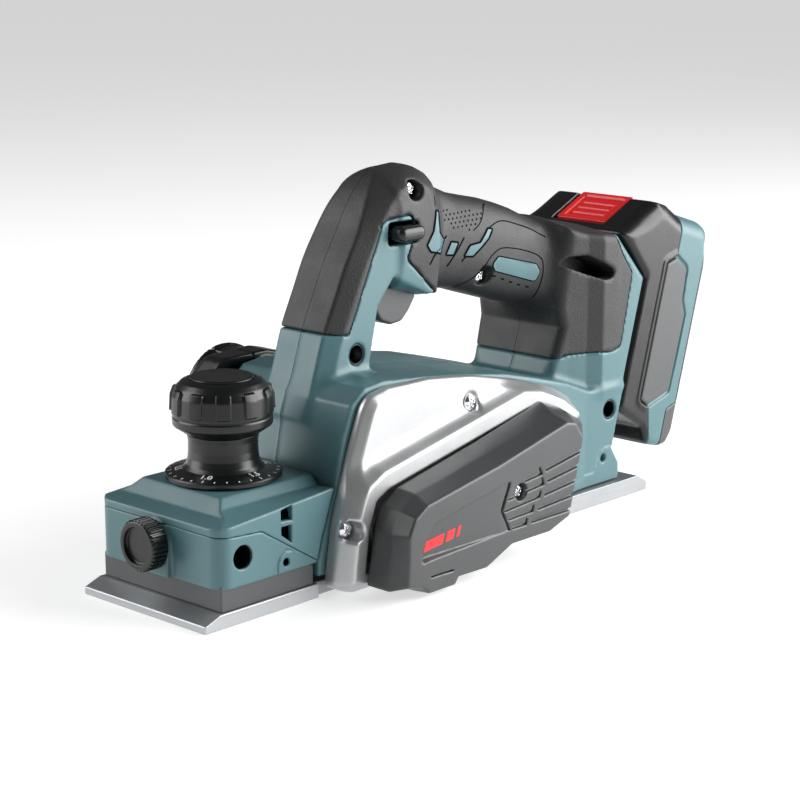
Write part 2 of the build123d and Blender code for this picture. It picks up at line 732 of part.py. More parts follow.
STRUT_OUTLINE = [(86, 76), (91, 88), (95.2, 100.2), (99.7, 113.3), (108.3, 131.1), (114.6, 144.2),
                 (121.8, 155.3), (129, 167.2), (136.3, 177.2), (141.8, 182.6), (149, 185.6), (157, 186.2),
                 (168, 184), (178, 177), (178, 124), (166, 124), (142.5, 135),
                 (131.8, 122.6), (127.6, 104.6), (124.8, 89.6), (122, 78)]
GRIP_SECTIONS = [(160, 126, 184.5), (168, 124.2, 183.8), (182.3, 122.8, 174.1), (194.8, 121.6, 169.1),
                 (219.2, 113.8, 163.9), (239.9, 108.2, 157.4), (256, 105.5, 149.8), (282, 104, 142.5)]
PILLAR_OUTLINE = [(262.2, 147), (272, 143.8), (293.5, 140.8), SHOULDER, BACK_MID, (272, 55),
                  (250, 60), (250, 69.6), (253.1, 78), (258.7, 95), (256.5, 105.3)]
RUBBER_REGION = [(90, 113.3), (108.9, 111.9), (122.9, 140.8), (135, 162), (152.9, 163.4), (156.6, 157.2),
                 (150.1, 142), (170.5, 124.9), (172, 116), (196, 110), (240, 100), (246, 79.5),
                 (273, 78), (289.1, 79.4), (296.2, 81), (305.2, 119), (297, 129), (291, 138), (296, 150),
                 (270, 200), (90, 200)]


def drawn_in(points, inset):
    """Outline whose every edge has moved towards the inside by the inset."""
    area = sum(a[0] * b[1] - b[0] * a[1] for a, b in zip(points, points[1:] + points[:1]))
    turn = 1 if area > 0 else -1
    moved = []
    for index, corner in enumerate(points):
        before = Vector(*points[index - 1])
        here = Vector(*corner)
        after = Vector(*points[(index + 1) % len(points)])
        into = (here - before).normalized()
        out = (after - here).normalized()
        normal_in = Vector(-into.Y, into.X) * turn
        normal_out = Vector(-out.Y, out.X) * turn
        shift = (normal_in + normal_out) * (inset / (1 + normal_in.dot(normal_out)))
        moved.append((here.X + shift.X, here.Y + shift.Y))
    return moved


def shrunk(points, inset, y_half):
    """Symmetric slab whose side outline and width are drawn in by the inset."""
    return slab(drawn_in(points, inset), inset - y_half, y_half - inset)


def pillar_plan(inset):
    """Upright prism that narrows the pillar towards the grip."""
    outline = [(248, 24), (262, 28), (273, 34), (281, PILLAR_HALF), (330, PILLAR_HALF)]
    upper = [(sx(station) + inset, half - inset) for station, half in outline]
    lower = [(x, -y) for x, y in reversed(upper)]
    with BuildPart() as prism:
        with BuildSketch(Plane.XY.offset(40)):
            with BuildLine():
                Polyline(*(upper + lower), close=True)
            make_face()
        extrude(amount=120)
    return prism.part


def strut_plan(inset):
    """Prism along the strut that chamfers its front face, drawn square to the strut's lean."""
    lean = Plane(origin=(sx(86), 0, 76), x_dir=(0.86, 0, -0.51), z_dir=(0.51, 0, 0.86))
    half = STRUT_HALF - inset
    with BuildPart() as prism:
        with BuildSketch(lean.offset(-30)):
            with BuildLine():
                Polyline((-60, 15 - inset), (-2, 15 - inset), (9, half), (120, half), (120, -half),
                         (9, -half), (-2, inset - 15), (-60, inset - 15), close=True)
            make_face()
        extrude(amount=190)
    return prism.part


def handle(inset):
    """Strut, grip and pillar in one, drawn in by the inset."""
    with BuildPart() as strut:
        add(shrunk(STRUT_OUTLINE, inset, STRUT_HALF))
        add(strut_plan(inset), mode=Mode.INTERSECT)
    with BuildPart() as grip:
        for station, low, high in GRIP_SECTIONS:
            half, corner = GRIP_HALF - inset, 7
            with BuildSketch(Plane.YZ.offset(sx(station))):
                with BuildLine():
                    right = [(half - corner, low + inset), (half, low + inset + corner),
                             (half, high - inset - corner), (half - corner, high - inset)]
                    Polyline(*right, *[(-y, z) for y, z in reversed(right)], close=True)
                make_face()
        loft(ruled=True)
    with BuildPart() as pillar:
        add(shrunk(PILLAR_OUTLINE, inset, PILLAR_HALF))
        add(pillar_plan(inset), mode=Mode.INTERSECT)
    with BuildPart() as whole:
        add(strut.part)
        add(grip.part)
        add(pillar.part)
    return whole.part


TRIGGER_PIVOT = (144.0, 136.0)
BUTTON_CENTRE = (147.8, 156.0)
SIDE_SCREWS = [(116.8, 102), (156.7, 175), (210.9, 127), (288, 48.6)]


def housing_cuts():
    """Everything cut from the housing and its rubber: cavity, trigger well, button and screws."""
    well = [(137.6, 116), (171, 116), (171, 137), (166, 147), (141, 147), (138.4, 140)]
    with BuildPart() as cuts:
        add(slab(well, -9.2, 9.2))
        add(block(138.6, 157.2, -30, -8, 151.6, 160.4))
        add(crossbar(BUTTON_CENTRE, 5.4, 8, 30))
        for centre in SIDE_SCREWS:
            for low, high in ((-45, -14), (14, 45)):
                add(crossbar(centre, 4.6, low, high))
            add(crossbar(centre, 1.7, -20, 20))
        for side_sign in (-1, 1):
            add(slab([(259, 126), (262, 131), (268, 132), (289, 126), (292, 122), (287, 118), (262, 123)],
                     min(side_sign * 27, side_sign * 50), max(side_sign * 27, side_sign * 50)))
    return cuts.part


HANDLE_OUTER = handle(0)
HANDLE_CORE = handle(RUBBER)
HANDLE_CAVITY = handle(RUBBER + SHELL)
CUTS = housing_cuts()


def rubber():
    """Soft overmould: a skin over the strut's front, the grip and the top of the pillar."""
    with BuildPart() as skin:
        add(HANDLE_OUTER)
        add(HANDLE_CORE, mode=Mode.SUBTRACT)
        add(slab(RUBBER_REGION, -60, 60), mode=Mode.INTERSECT)
        add(CUTS, mode=Mode.SUBTRACT)
    return skin.part


def housing(skin):
    """Hard shell of the body and handle, with everything it has to clear taken out."""
    with BuildPart() as shell:
        add(slab(BODY_OUTLINE, -SOLE_HALF, SOLE_HALF))
        add(HANDLE_OUTER)
        add(skin, mode=Mode.SUBTRACT)
        add(HANDLE_CAVITY, mode=Mode.SUBTRACT)
        add(slab(BODY_CAVITY, -38, 38), mode=Mode.SUBTRACT)
        add(CUTS, mode=Mode.SUBTRACT)
        add(crossbar(DRUM, CUT_RADIUS + 5.2, -50, 50), mode=Mode.SUBTRACT)
        add(crossbar(MOTOR, 12, -50, -30), mode=Mode.SUBTRACT)
        add(crossbar(NOZZLE, 23.5, 30, 50), mode=Mode.SUBTRACT)
        add(pack_block(-27, -20, -31, 31, 20, 86), mode=Mode.SUBTRACT)
        add(crossbar(TRIGGER_PIVOT, 1.5, -14.3, 14.3), mode=Mode.SUBTRACT)
        for centre in FRAME_SCREWS:
            add(crossbar(centre, 2.0, -50, -30), mode=Mode.SUBTRACT)
        for station in SHOE_SCREW_STATIONS:
            for y in (-SHOE_SCREW_HALF, SHOE_SCREW_HALF):
                add(post(station, y, 2.2, 0, 20), mode=Mode.SUBTRACT)
    return shell.part


def left_half(whole):
    with BuildPart() as half:
        add(whole)
        split(bisect_by=Plane.XZ, keep=Keep.TOP)
    return half.part


def right_half(whole):
    with BuildPart() as half:
        add(whole)
        split(bisect_by=Plane.XZ, keep=Keep.BOTTOM)
    return half.part


SKIN = rubber()
SHELLS = housing(SKIN)
save(left_half(SHELLS), "housing_left")
save(right_half(SHELLS), "housing_right")
save(left_half(SKIN), "grip_rubber_left")
save(right_half(SKIN), "grip_rubber_right")

# ---- Chip outlet -------------------------------------------------------------------------
NOZZLE_OUTER = 25.0
NOZZLE_BORE = 22.5


def chip_duct():
    """Box duct from the drum hood's window to the outlet in the right-hand side."""
    with BuildPart() as duct:
        outer = [(90, 54), (91.5, 72), (96.5, 81.5), (103, 87), (112, 88.4), (138, 86), (146, 78), (146, 54)]
        add(slab(outer, 3, 37.8))
        add(slab(drawn_in(outer, 2), 5, 40), mode=Mode.SUBTRACT)
        add(block(98, 126, 8, 36, 50, 57), mode=Mode.SUBTRACT)
    return duct.part


def chip_nozzle():
    """Black outlet: a broad collar against the housing and a round spout for a bag or hose."""
    collar = [(80.5, 52), (79.8, 86), (91, 95.2), (119, 95.4), (139, 90), (152, 80), (152, 50), (142, 42),
              (90, 42)]
    with BuildPart() as nozzle:
        add(slab(collar, 44.4, 61, radius=4))
        add(crossbar(NOZZLE, NOZZLE_OUTER, 60, 76))
        add(crossbar(NOZZLE, NOZZLE_OUTER + 1.2, 72.5, 75))
        add(crossbar(NOZZLE, NOZZLE_BORE, 41.3, 80), mode=Mode.SUBTRACT)
    return nozzle.part


save(chip_duct(), "chip_duct")
save(chip_nozzle(), "chip_nozzle")

# ---- Switch gear -------------------------------------------------------------------------
TRIGGER_OUTLINE = [(139.4, 120.5), (144.5, 113.2), (151.5, 110.4), (158.5, 111.4), (163, 116), (167.6, 121),
                   (169.4, 130), (166, 138), (150, 140.5), (141.4, 139)]


def trigger():
    """Finger trigger, hinged at its front and hollow above for the spring."""
    with BuildPart() as lever:
        add(slab(TRIGGER_OUTLINE, -8.6, 8.6, radius=1.5))
        add(block(151, 172, -6.6, 6.6, 133, 145), mode=Mode.SUBTRACT)
        add(crossbar(TRIGGER_PIVOT, 1.5 + RUNNING, -12, 12), mode=Mode.SUBTRACT)
    return lever.part


def trigger_spring():
    """Compression spring between the switch and the trigger's well."""
    with BuildPart() as spring:
        with BuildLine():
            Helix(pitch=2.4, height=9.6, radius=2.6, center=(sx(158), 0, 133.6))
        with BuildSketch(Plane(origin=(sx(158) + 2.6, 0, 133.6), z_dir=(0, 1, 0))):
            Circle(0.45)
        sweep(is_frenet=True)
    return spring.part


def lock_button():
    """Cross bolt with a broad thumb pad on the left and a round end on the right."""
    with BuildPart() as button:
        with BuildSketch(Plane.XZ.offset(17.5)):
            with Locations((sx(BUTTON_CENTRE[0]), BUTTON_CENTRE[1])):
                SlotOverall(17, 7.4)
        extrude(amount=9.5)
        add(crossbar(BUTTON_CENTRE, 2.8, -18, 16))
        add(crossbar(BUTTON_CENTRE, 5, 15, 20.5))
    return button.part


def lock_spring():
    """Return spring round the cross bolt."""
    with BuildPart() as spring:
        for coil in range(5):
            add(crossbar(BUTTON_CENTRE, 3.9, 3.2 + coil * 2, 4.0 + coil * 2, inner=3.1))
    return spring.part


def switch_body():
    """Trigger switch with its three blade terminals."""
    with BuildPart() as body:
        add(block(160, 186, -8, 8, 143.6, 158))
        add(block(154, 160, -8, 8, 143.6, 149.5))
        for y in (-5, 0, 5):
            add(block(186, 192, y - 0.4, y + 0.4, 148, 153))
    return body.part


save(trigger(), "trigger")
save(crossbar(TRIGGER_PIVOT, 1.5, -14.3, 14.3), "trigger_pin")
save(trigger_spring(), "trigger_spring")
save(lock_button(), "lock_button")
save(lock_spring(), "lock_spring")
save(switch_body(), "switch_body")

# ---- Electronics and battery interface ---------------------------------------------------
RAIL_LOW, RAIL_HIGH = 26.0, 84.0


def control_board():
    """Motor control board on stand-offs, with capacitors and power transistors."""
    with BuildPart() as board:
        add(block(224, 286, -30, 30, 19, 20.6))
        for station, y in ((228, -26), (228, 26), (282, -26), (282, 26)):
            add(post(station, y, 3, 12, 19))
        for station in (240, 254, 268):
            add(post(station, -16, 5, 20.6, 36))
            add(block(station - 5, station + 5, 6, 10, 20.6, 34))
    return board.part


def battery_rails():
    """Slide rails and back plate on the tool, with a T-shaped section."""
    with BuildPart() as rails:
        add(pack_block(-27, BACK_FACE, -31, 31, 20, 86))
        add(pack_block(BACK_FACE, -17.4, -21.6, 21.6, RAIL_LOW, RAIL_HIGH))
        add(pack_block(-20.4, -17.4, -25, 25, RAIL_LOW, RAIL_HIGH))
    return rails.part


def tool_contacts():
    """Three blade contacts that enter the battery."""
    with BuildPart() as contacts:
        for y in (-12, 0, 12):
            add(pack_block(-17.4, -12.3, y - 0.4, y + 0.4, 56, 74))
    return contacts.part


def battery_case():
    """Black front of the battery, with the rail channel, contact slots and button pocket."""
    outline = [(-23, 16), (-23, 88.3), (-49, 105.8), (-47, 107.6), (-22.6, 125.2), (-12.5, 124.4), (0, 115.6),
               (0, 9.5), (-6, 11)]
    with BuildPart() as case:
        add(pack_slab(outline, -BATTERY_HALF, BATTERY_HALF, radius=1.5))
        add(pack_block(-30, -17.4 + RAIL_GAP, -22, 22, 5, RAIL_HIGH + RAIL_GAP), mode=Mode.SUBTRACT)
        add(pack_block(-20.8, -17.4 + RAIL_GAP, -25.4, 25.4, 5, RAIL_HIGH + RAIL_GAP), mode=Mode.SUBTRACT)
        for y in (-12, 0, 12):
            add(pack_block(-18, -11.7, y - 0.9, y + 0.9, 5, 75), mode=Mode.SUBTRACT)
        add(pack_slab([(-39.4, 103.0), (-45.2, 113.5), (-19.5, 134), (-12.2, 126.3)], -17.5, 17.5),
            mode=Mode.SUBTRACT)
        add(pack_block(-11, 1, -34.5, 34.5, 14, 111), mode=Mode.SUBTRACT)
    return case.part


def battery_shell():
    """Middle shell of the battery in the housing colour."""
    outline = [(0, 9.5), (7.5, 0.5), (21.5, 1.5), (21.5, 125.2), (6, 125.2), (0, 119)]
    with BuildPart() as shell:
        add(pack_slab(outline, -BATTERY_HALF, BATTERY_HALF))
        add(pack_block(-1, 22, -34.5, 34.5, 14, 111), mode=Mode.SUBTRACT)
    return shell.part


def battery_cap():
    """Dark rear bumper of the battery."""
    outline = [(21.5, 1.5), (25, 3), (29.6, 11.4), (29.8, 118.7), (27, 123.4), (21.5, 125.2)]
    with BuildPart() as cap:
        add(pack_slab(outline, -BATTERY_HALF, BATTERY_HALF))
        add(pack_block(21, 26.3, -34.5, 34.5, 14, 111), mode=Mode.SUBTRACT)
    return cap.part


def battery_panels():
    """Raised grip panel on each side of the battery."""
    outline = [(-7.7, 97.6), (0.1, 102.3), (12.1, 98), (13.9, 80.6), (19, 73.5), (18, 31.9), (-0.7, 21.9),
               (-7.4, 24)]
    with BuildPart() as panels:
        add(pack_slab(outline, -BATTERY_HALF - 0.9, -BATTERY_HALF))
        add(pack_slab(outline, BATTERY_HALF, BATTERY_HALF + 0.9))
    return panels.part


CELL_RADIUS = 9.1
CELL_LENGTH = 65.0


def battery_cells():
    """Ten cylindrical cells lying across the pack, in two stacks of five."""
    with BuildPart() as cells:
        with BuildSketch(PACK.offset(-CELL_LENGTH / 2)):
            for column, row in ((0, 0), (0, 1), (0, 2), (0, 3), (0, 4), (1, 0), (1, 1), (1, 2), (1, 3), (1, 4)):
                with Locations((-1.6 + column * 18.5, 24 + row * 19.2)):
                    Circle(CELL_RADIUS)
        extrude(amount=CELL_LENGTH)
    return cells.part


save(control_board(), "control_board")
save(battery_rails(), "battery_rails")
save(tool_contacts(), "tool_contacts")
save(battery_case(), "battery_case")
save(battery_shell(), "battery_shell")
save(battery_cap(), "battery_cap")
save(battery_panels(), "battery_panels")
save(battery_cells(), "battery_cells")


def release_button():
    """Red release button that lies in the battery's sloping top."""
    with BuildPart() as button:
        add(pack_slab([(-40.0, 112.0), (-20.2, 129.2), (-17.2, 125.6), (-37.2, 108.2)], -17, 17))
        for rib in range(3):
            s = -33 + rib * 4
            add(pack_slab([(s, 118.0 + rib * 3.47), (s - 0.8, 119.2 + rib * 3.47), (s + 0.6, 120.3 + rib * 3.47),
                           (s + 1.4, 119.2 + rib * 3.47)], -13, 13))
    return button.part


save(release_button(), "release_button")


def housing_screws():
    """Screws that hold the two housing halves together, in the side pockets."""
    with BuildPart() as screws:
        for centre in SIDE_SCREWS:
            add(crossbar(centre, 3.6, -16.4, -14))
            add(crossbar(centre, 1.7, -14, 8))
            add(crossbar(centre, 1.3, -17, -15), mode=Mode.SUBTRACT)
    return screws.part


save(housing_screws(), "housing_screws")
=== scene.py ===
import math

import bmesh
import bpy
import numpy as np
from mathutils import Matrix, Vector
from mathutils.geometry import delaunay_2d_cdt


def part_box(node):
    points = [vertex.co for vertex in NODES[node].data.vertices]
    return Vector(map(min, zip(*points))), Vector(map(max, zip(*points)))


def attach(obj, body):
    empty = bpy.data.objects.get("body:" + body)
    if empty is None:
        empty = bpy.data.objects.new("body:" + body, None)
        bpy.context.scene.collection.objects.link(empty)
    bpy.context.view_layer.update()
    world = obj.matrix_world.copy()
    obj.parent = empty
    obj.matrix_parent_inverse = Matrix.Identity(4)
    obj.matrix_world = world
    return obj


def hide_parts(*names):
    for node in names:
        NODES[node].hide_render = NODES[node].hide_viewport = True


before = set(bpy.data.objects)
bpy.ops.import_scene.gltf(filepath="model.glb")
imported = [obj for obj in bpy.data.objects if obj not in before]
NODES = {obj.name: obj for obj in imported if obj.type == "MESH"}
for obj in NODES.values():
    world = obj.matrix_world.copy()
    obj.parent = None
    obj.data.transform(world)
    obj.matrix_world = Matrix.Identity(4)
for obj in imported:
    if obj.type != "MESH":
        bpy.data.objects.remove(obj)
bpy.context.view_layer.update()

# Looks of the cordless hand planer. Lengths in this script are millimetres in "station space":
# x is the distance behind the nose of the front shoe, y is across, z is the height above the soles.
# place() turns them into metres in the row's frame.
MM = 0.001
NOSE_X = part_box("front_shoe")[0].x / MM
COARSE = 1.0


def place(points):
    """Station-space points in millimetres to row-frame points in metres."""
    moved = np.asarray(points, float).copy()
    moved[..., 0] += NOSE_X
    return moved * MM


# ---- Materials ---------------------------------------------------------------------------
def linear(red, green, blue):
    """Linear colour of a screen colour given in 0 to 255."""
    parts = [channel / 255 for channel in (red, green, blue)]
    return [p / 12.92 if p <= 0.04045 else ((p + 0.055) / 1.055) ** 2.4 for p in parts] + [1.0]


def shade(colour, factor):
    return [min(1.0, channel * factor) for channel in colour[:3]] + [1.0]


class Nodes:
    """Short names for building a node tree."""

    def __init__(self, name):
        self.material = bpy.data.materials.new(name)
        self.material.use_nodes = True
        self.tree = self.material.node_tree
        self.tree.nodes.clear()
        self.output = self.tree.nodes.new("ShaderNodeOutputMaterial")
        self.shader = self.tree.nodes.new("ShaderNodeBsdfPrincipled")
        self.tree.links.new(self.shader.outputs[0], self.output.inputs[0])
        coordinates = self.tree.nodes.new("ShaderNodeTexCoord")
        self.where = coordinates.outputs["Object"]

    def link(self, source, target):
        self.tree.links.new(source, target)

    def wire(self, source, name):
        """Joins a socket to an input of the shader."""
        self.link(source, self.shader.inputs[name])

    def put(self, **values):
        """Sets plain inputs of the shader; underscores stand for spaces."""
        for name, value in values.items():
            self.shader.inputs[name.replace("_", " ")].default_value = value

    def stretched(self, scale):
        """Object coordinates scaled by axis, for grain that runs one way."""
        mapping = self.tree.nodes.new("ShaderNodeMapping")
        mapping.inputs["Scale"].default_value = scale
        self.link(self.where, mapping.inputs["Vector"])
        return mapping.outputs[0]

    def noise(self, scale, detail=2.0, rough=0.5, vector=None):
        texture = self.tree.nodes.new("ShaderNodeTexNoise")
        texture.inputs["Scale"].default_value = scale
        texture.inputs["Detail"].default_value = detail
        texture.inputs["Roughness"].default_value = rough
        self.link(vector or self.where, texture.inputs["Vector"])
        return texture.outputs["Fac"]

    def cells(self, scale):
        texture = self.tree.nodes.new("ShaderNodeTexVoronoi")
        texture.inputs["Scale"].default_value = scale
        self.link(self.where, texture.inputs["Vector"])
        return texture.outputs["Distance"]

    def ranged(self, value, low, high, to_low, to_high):
        node = self.tree.nodes.new("ShaderNodeMapRange")
        for name, number in zip(("From Min", "From Max", "To Min", "To Max"), (low, high, to_low, to_high)):
            node.inputs[name].default_value = number
        self.link(value, node.inputs["Value"])
        return node.outputs[0]

    def mixed(self, share, first, second):
        """Colour mix; first and second are colours or sockets."""
        node = self.tree.nodes.new("ShaderNodeMix")
        node.data_type = "RGBA"
        self.link(share, node.inputs["Factor"])
        for name, value in (("A", first), ("B", second)):
            socket = [s for s in node.inputs if s.name == name and s.type == "RGBA"][0]
            if isinstance(value, list):
                socket.default_value = value
            else:
                self.link(value, socket)
        return [s for s in node.outputs if s.type == "RGBA"][0]

    def edge(self, low, high):
        """0 on flats, 1 on the sharpest outward edges."""
        geometry = self.tree.nodes.new("ShaderNodeNewGeometry")
        return self.ranged(geometry.outputs["Pointiness"], low, high, 0.0, 1.0)

    def bump(self, height, depth, strength=1.0, under=None):
        node = self.tree.nodes.new("ShaderNodeBump")
        node.inputs["Distance"].default_value = depth * MM
        node.inputs["Strength"].default_value = strength
        self.link(height, node.inputs["Height"])
        if under is not None:
            self.link(under, node.inputs["Normal"])
        return node.outputs[0]


MATERIALS = {}


def moulded(name, colour, rough, grain, depth, spread=0.12, wear=1.5, pits=None, coat=0.0,
            specular=0.5):
    """Moulded plastic or rubber: fine grain, slow colour drift, rubbed edges, uneven gloss."""
    n = Nodes(name)
    drift = n.mixed(n.noise(22, 3), shade(colour, 1 - spread), shade(colour, 1 + spread))
    speckled = n.mixed(n.ranged(n.noise(grain, 1), 0.35, 0.65, 0.0, 0.35), drift, shade(colour, 1.35))
    worn = n.mixed(n.edge(0.53, 0.62), speckled, shade(colour, wear))
    n.wire(worn, "Base Color")
    n.wire(n.ranged(n.noise(60, 4, 0.6), 0.3, 0.7, rough - 0.05, rough + 0.06), "Roughness")
    normal = n.bump(n.noise(grain, 3, 0.6), depth, 0.8)
    if pits:
        normal = n.bump(n.cells(pits), depth * 1.6, 0.7, normal)
    n.wire(normal, "Normal")
    n.put(IOR=1.5, Specular_IOR_Level=specular, Coat_Weight=coat, Coat_Roughness=0.25)
    MATERIALS[name] = n.material


def metal(name, colour, rough, run=(1, 1, 1), lines=900, depth=0.006, wear=1.15, metallic=1.0):
    """Bare or painted metal; run stretches the tool marks along an axis."""
    n = Nodes(name)
    marks = n.noise(lines, 3, 0.65, n.stretched(run))
    tone = n.mixed(n.ranged(marks, 0.3, 0.7, 0.0, 1.0), shade(colour, 0.9), shade(colour, 1.06))
    worn = n.mixed(n.edge(0.52, 0.6), tone, shade(colour, wear))
    n.wire(worn, "Base Color")
    n.wire(n.ranged(n.noise(35, 4, 0.6), 0.3, 0.7, rough - 0.04, rough + 0.06), "Roughness")
    n.wire(n.bump(marks, depth), "Normal")
    n.put(Metallic=metallic)
    MATERIALS[name] = n.material


def cast(name, colour, rough, grain=700, depth=0.06):
    """Cast metal with a sandy skin."""
    n = Nodes(name)
    skin = n.noise(grain, 4, 0.7)
    n.wire(n.mixed(skin, shade(colour, 0.75), shade(colour, 1.15)), "Base Color")
    n.wire(n.ranged(skin, 0.3, 0.7, rough - 0.08, rough + 0.1), "Roughness")
    n.wire(n.bump(skin, depth), "Normal")
    n.put(Metallic=1.0)
    MATERIALS[name] = n.material


moulded("teal_plastic", linear(76, 111, 116), 0.36, 2600, 0.014, wear=1.5)
moulded("black_plastic", linear(16, 17, 18), 0.3, 2400, 0.012, wear=2.2)
moulded("grey_plastic", linear(70, 71, 72), 0.34, 2600, 0.012, wear=1.5)
moulded("panel_plastic", linear(72, 73, 74), 0.42, 2600, 0.02, wear=1.4)
moulded("grip_rubber", linear(38, 38, 39), 0.52, 1500, 0.07, wear=1.5, pits=900)
moulded("belt_rubber", linear(20, 20, 21), 0.6, 1500, 0.05, wear=1.4)
moulded("red_plastic", linear(226, 36, 40), 0.36, 2400, 0.015, spread=0.06, wear=1.25)
moulded("board", linear(20, 74, 44), 0.4, 900, 0.03, wear=1.5)
moulded("cell_wrap", linear(40, 92, 150), 0.3, 900, 0.01, wear=1.3, coat=0.4)
moulded("dial_paint", linear(228, 230, 230), 0.5, 2600, 0.01, spread=0.03, wear=1.0)
# Painted shade: a near-black, barely specular finish for thin strips and dots that stand in for the shade inside
# grooves, seams and small holes.
moulded("seam_shadow", linear(6, 7, 8), 0.8, 2400, 0.01, spread=0.05, wear=1.0, specular=0.05)
metal("silver_paint", linear(194, 195, 196), 0.33, lines=2400, depth=0.001, wear=1.0, metallic=0.7)
metal("sole_aluminium", linear(168, 170, 172), 0.42, run=(0.03, 1, 1), lines=1600, depth=0.004, metallic=0.85)
metal("steel", linear(190, 190, 192), 0.22, run=(1, 0.1, 1), lines=1200, depth=0.003)
metal("blade_steel", linear(200, 202, 206), 0.16, run=(1, 0.05, 1), lines=1800, depth=0.003)
metal("chrome", linear(226, 227, 230), 0.1, lines=900, depth=0.002)
metal("copper", linear(186, 104, 62), 0.3, run=(1, 0.1, 1), lines=2200, depth=0.02)
metal("contact_brass", linear(206, 170, 92), 0.25, lines=900, depth=0.004)
cast("cast_aluminium", linear(158, 160, 162), 0.45)


# ---- Mesh helpers ------------------------------------------------------------------------
def finish_piece(piece, material, body, replaces=()):
    """Material, body and the CAD nodes that the piece stands for."""
    piece.data.materials.clear()
    piece.data.materials.append(MATERIALS[material])
    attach(piece, body)
    if replaces:
        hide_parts(*replaces)
    return piece


def new_piece(name, points, faces, smooth=True):
    """Object from station-space points and faces that all have the same number of sides."""
    mesh = bpy.data.meshes.new(name)
    points = place(points)
    faces = np.asarray(faces, np.int32)
    count, sides = faces.shape
    mesh.vertices.add(len(points))
    mesh.vertices.foreach_set("co", points.astype(np.float32).ravel())
    mesh.loops.add(count * sides)
    mesh.loops.foreach_set("vertex_index", faces.ravel())
    mesh.polygons.add(count)
    mesh.polygons.foreach_set("loop_start", np.arange(count, dtype=np.int32) * sides)
    mesh.update(calc_edges=True)
    mesh.validate()
    mesh.polygons.foreach_set("use_smooth", np.full(len(mesh.polygons), smooth))
    piece = bpy.data.objects.new(name, mesh)
    bpy.context.scene.collection.objects.link(piece)
    return piece


def rim_edges(triangles):
    """Edges with a triangle on one side only, in that triangle's direction."""
    edges = dict.fromkeys(edge for a, b, c in triangles for edge in ((a, b), (b, c), (c, a)))
    return [(a, b) for a, b in edges if (b, a) not in edges]


def weld(piece, distance=1e-6):
    """Merges coincident points, as on a turned shape's axis, and makes faces point outwards."""
    mesh = bmesh.new()
    mesh.from_mesh(piece.data)
    bmesh.ops.remove_doubles(mesh, verts=mesh.verts, dist=distance)
    bmesh.ops.recalc_face_normals(mesh, faces=mesh.faces)
    mesh.to_mesh(piece.data)
    mesh.free()
    return piece


def joined(parts):
    """One list of points and faces from several."""
    points, faces, start = [], [], 0
    for part_points, part_faces in parts:
        points.append(np.asarray(part_points, float))
        faces.append(np.asarray(part_faces, int) + start)
        start += len(part_points)
    return np.concatenate(points), np.concatenate(faces)


def rectangle(x_low, x_high, z_low, z_high):
    return [(x_low, z_low), (x_high, z_low), (x_high, z_high), (x_low, z_high)]


def rounded(points, radius, steps=5):
    """Closed outline with each corner replaced by a curve; radius is one number or one per corner."""
    made = []
    radii = radius if isinstance(radius, (list, tuple)) else [radius] * len(points)
    for index, corner in enumerate(points):
        here = np.array(corner, float)
        if radii[index] == 0:
            made.append(tuple(here))
            continue
        back = np.array(points[index - 1], float) - here
        ahead = np.array(points[(index + 1) % len(points)], float) - here
        reach_back, reach_ahead = np.linalg.norm(back), np.linalg.norm(ahead)
        back, ahead = back / reach_back, ahead / reach_ahead
        opening = math.acos(float(np.clip(back @ ahead, -1, 1)))
        if opening > math.pi - 0.02:
            made.append(tuple(here))
            continue
        reach = min(radii[index] / math.tan(opening / 2), 0.48 * reach_back, 0.48 * reach_ahead)
        for step in range(steps + 1):
            t = step / steps
            point = here + back * reach * (1 - t) ** 2 + ahead * reach * t ** 2
            made.append(tuple(point))
    return made


def curved(points, steps=6):
    """Smooth line through the given points (Catmull-Rom)."""
    p = [np.array(q, float) for q in [points[0]] + list(points) + [points[-1]]]
    made = [tuple(p[1])]
    for n in range(1, len(p) - 2):
        for step in range(1, steps + 1):
            t = step / steps
            made.append(tuple(0.5 * (2 * p[n] + (p[n + 1] - p[n - 1]) * t
                                     + (2 * p[n - 1] - 5 * p[n] + 4 * p[n + 1] - p[n + 2]) * t ** 2
                                     + (3 * p[n] - p[n - 1] - 3 * p[n + 1] + p[n + 2]) * t ** 3)))
    return made


# ---- Fields: shapes given by a signed distance on a grid ----------------------------------
class Grid:
    """Regular grid of points; x, y and z broadcast against each other."""

    def __init__(self, low, high, step):
        self.low = np.array(low, float)
        self.step = step
        axes = [np.arange(a, b + step, step, dtype=np.float32) for a, b in zip(low, high)]
        self.x = axes[0][:, None, None]
        self.y = axes[1][None, :, None]
        self.z = axes[2][None, None, :]
        self.shape = tuple(len(axis) for axis in axes)


def path_distance(points, u, v):
    """Distance to an open line of points."""
    nearest = np.full(np.broadcast(u, v).shape, 1e9, np.float32)
    for (ax, ay), (bx, by) in zip(points[:-1], points[1:]):
        ex, ey = bx - ax, by - ay
        px, py = u - ax, v - ay
        along = np.clip((px * ex + py * ey) / (ex * ex + ey * ey), 0, 1)
        nearest = np.minimum(nearest, (px - along * ex) ** 2 + (py - along * ey) ** 2)
    return np.sqrt(nearest)


def outline_distance(points, u, v):
    """Signed distance to a closed outline, negative inside it."""
    loop = points + points[:1]
    distance = path_distance(loop, u, v)
    inside = np.zeros(distance.shape, bool)
    for (ax, ay), (bx, by) in zip(loop[:-1], loop[1:]):
        if by != ay:
            inside ^= ((ay > v) != (by > v)) & (u - ax < (bx - ax) * (v - ay) / (by - ay))
    return np.where(inside, -1, 1) * distance


def smooth_step(value, low, high):
    """0 below low, 1 above high and an even curve between."""
    t = np.clip((value - low) / (high - low), 0, 1)
    return t * t * (3 - 2 * t)


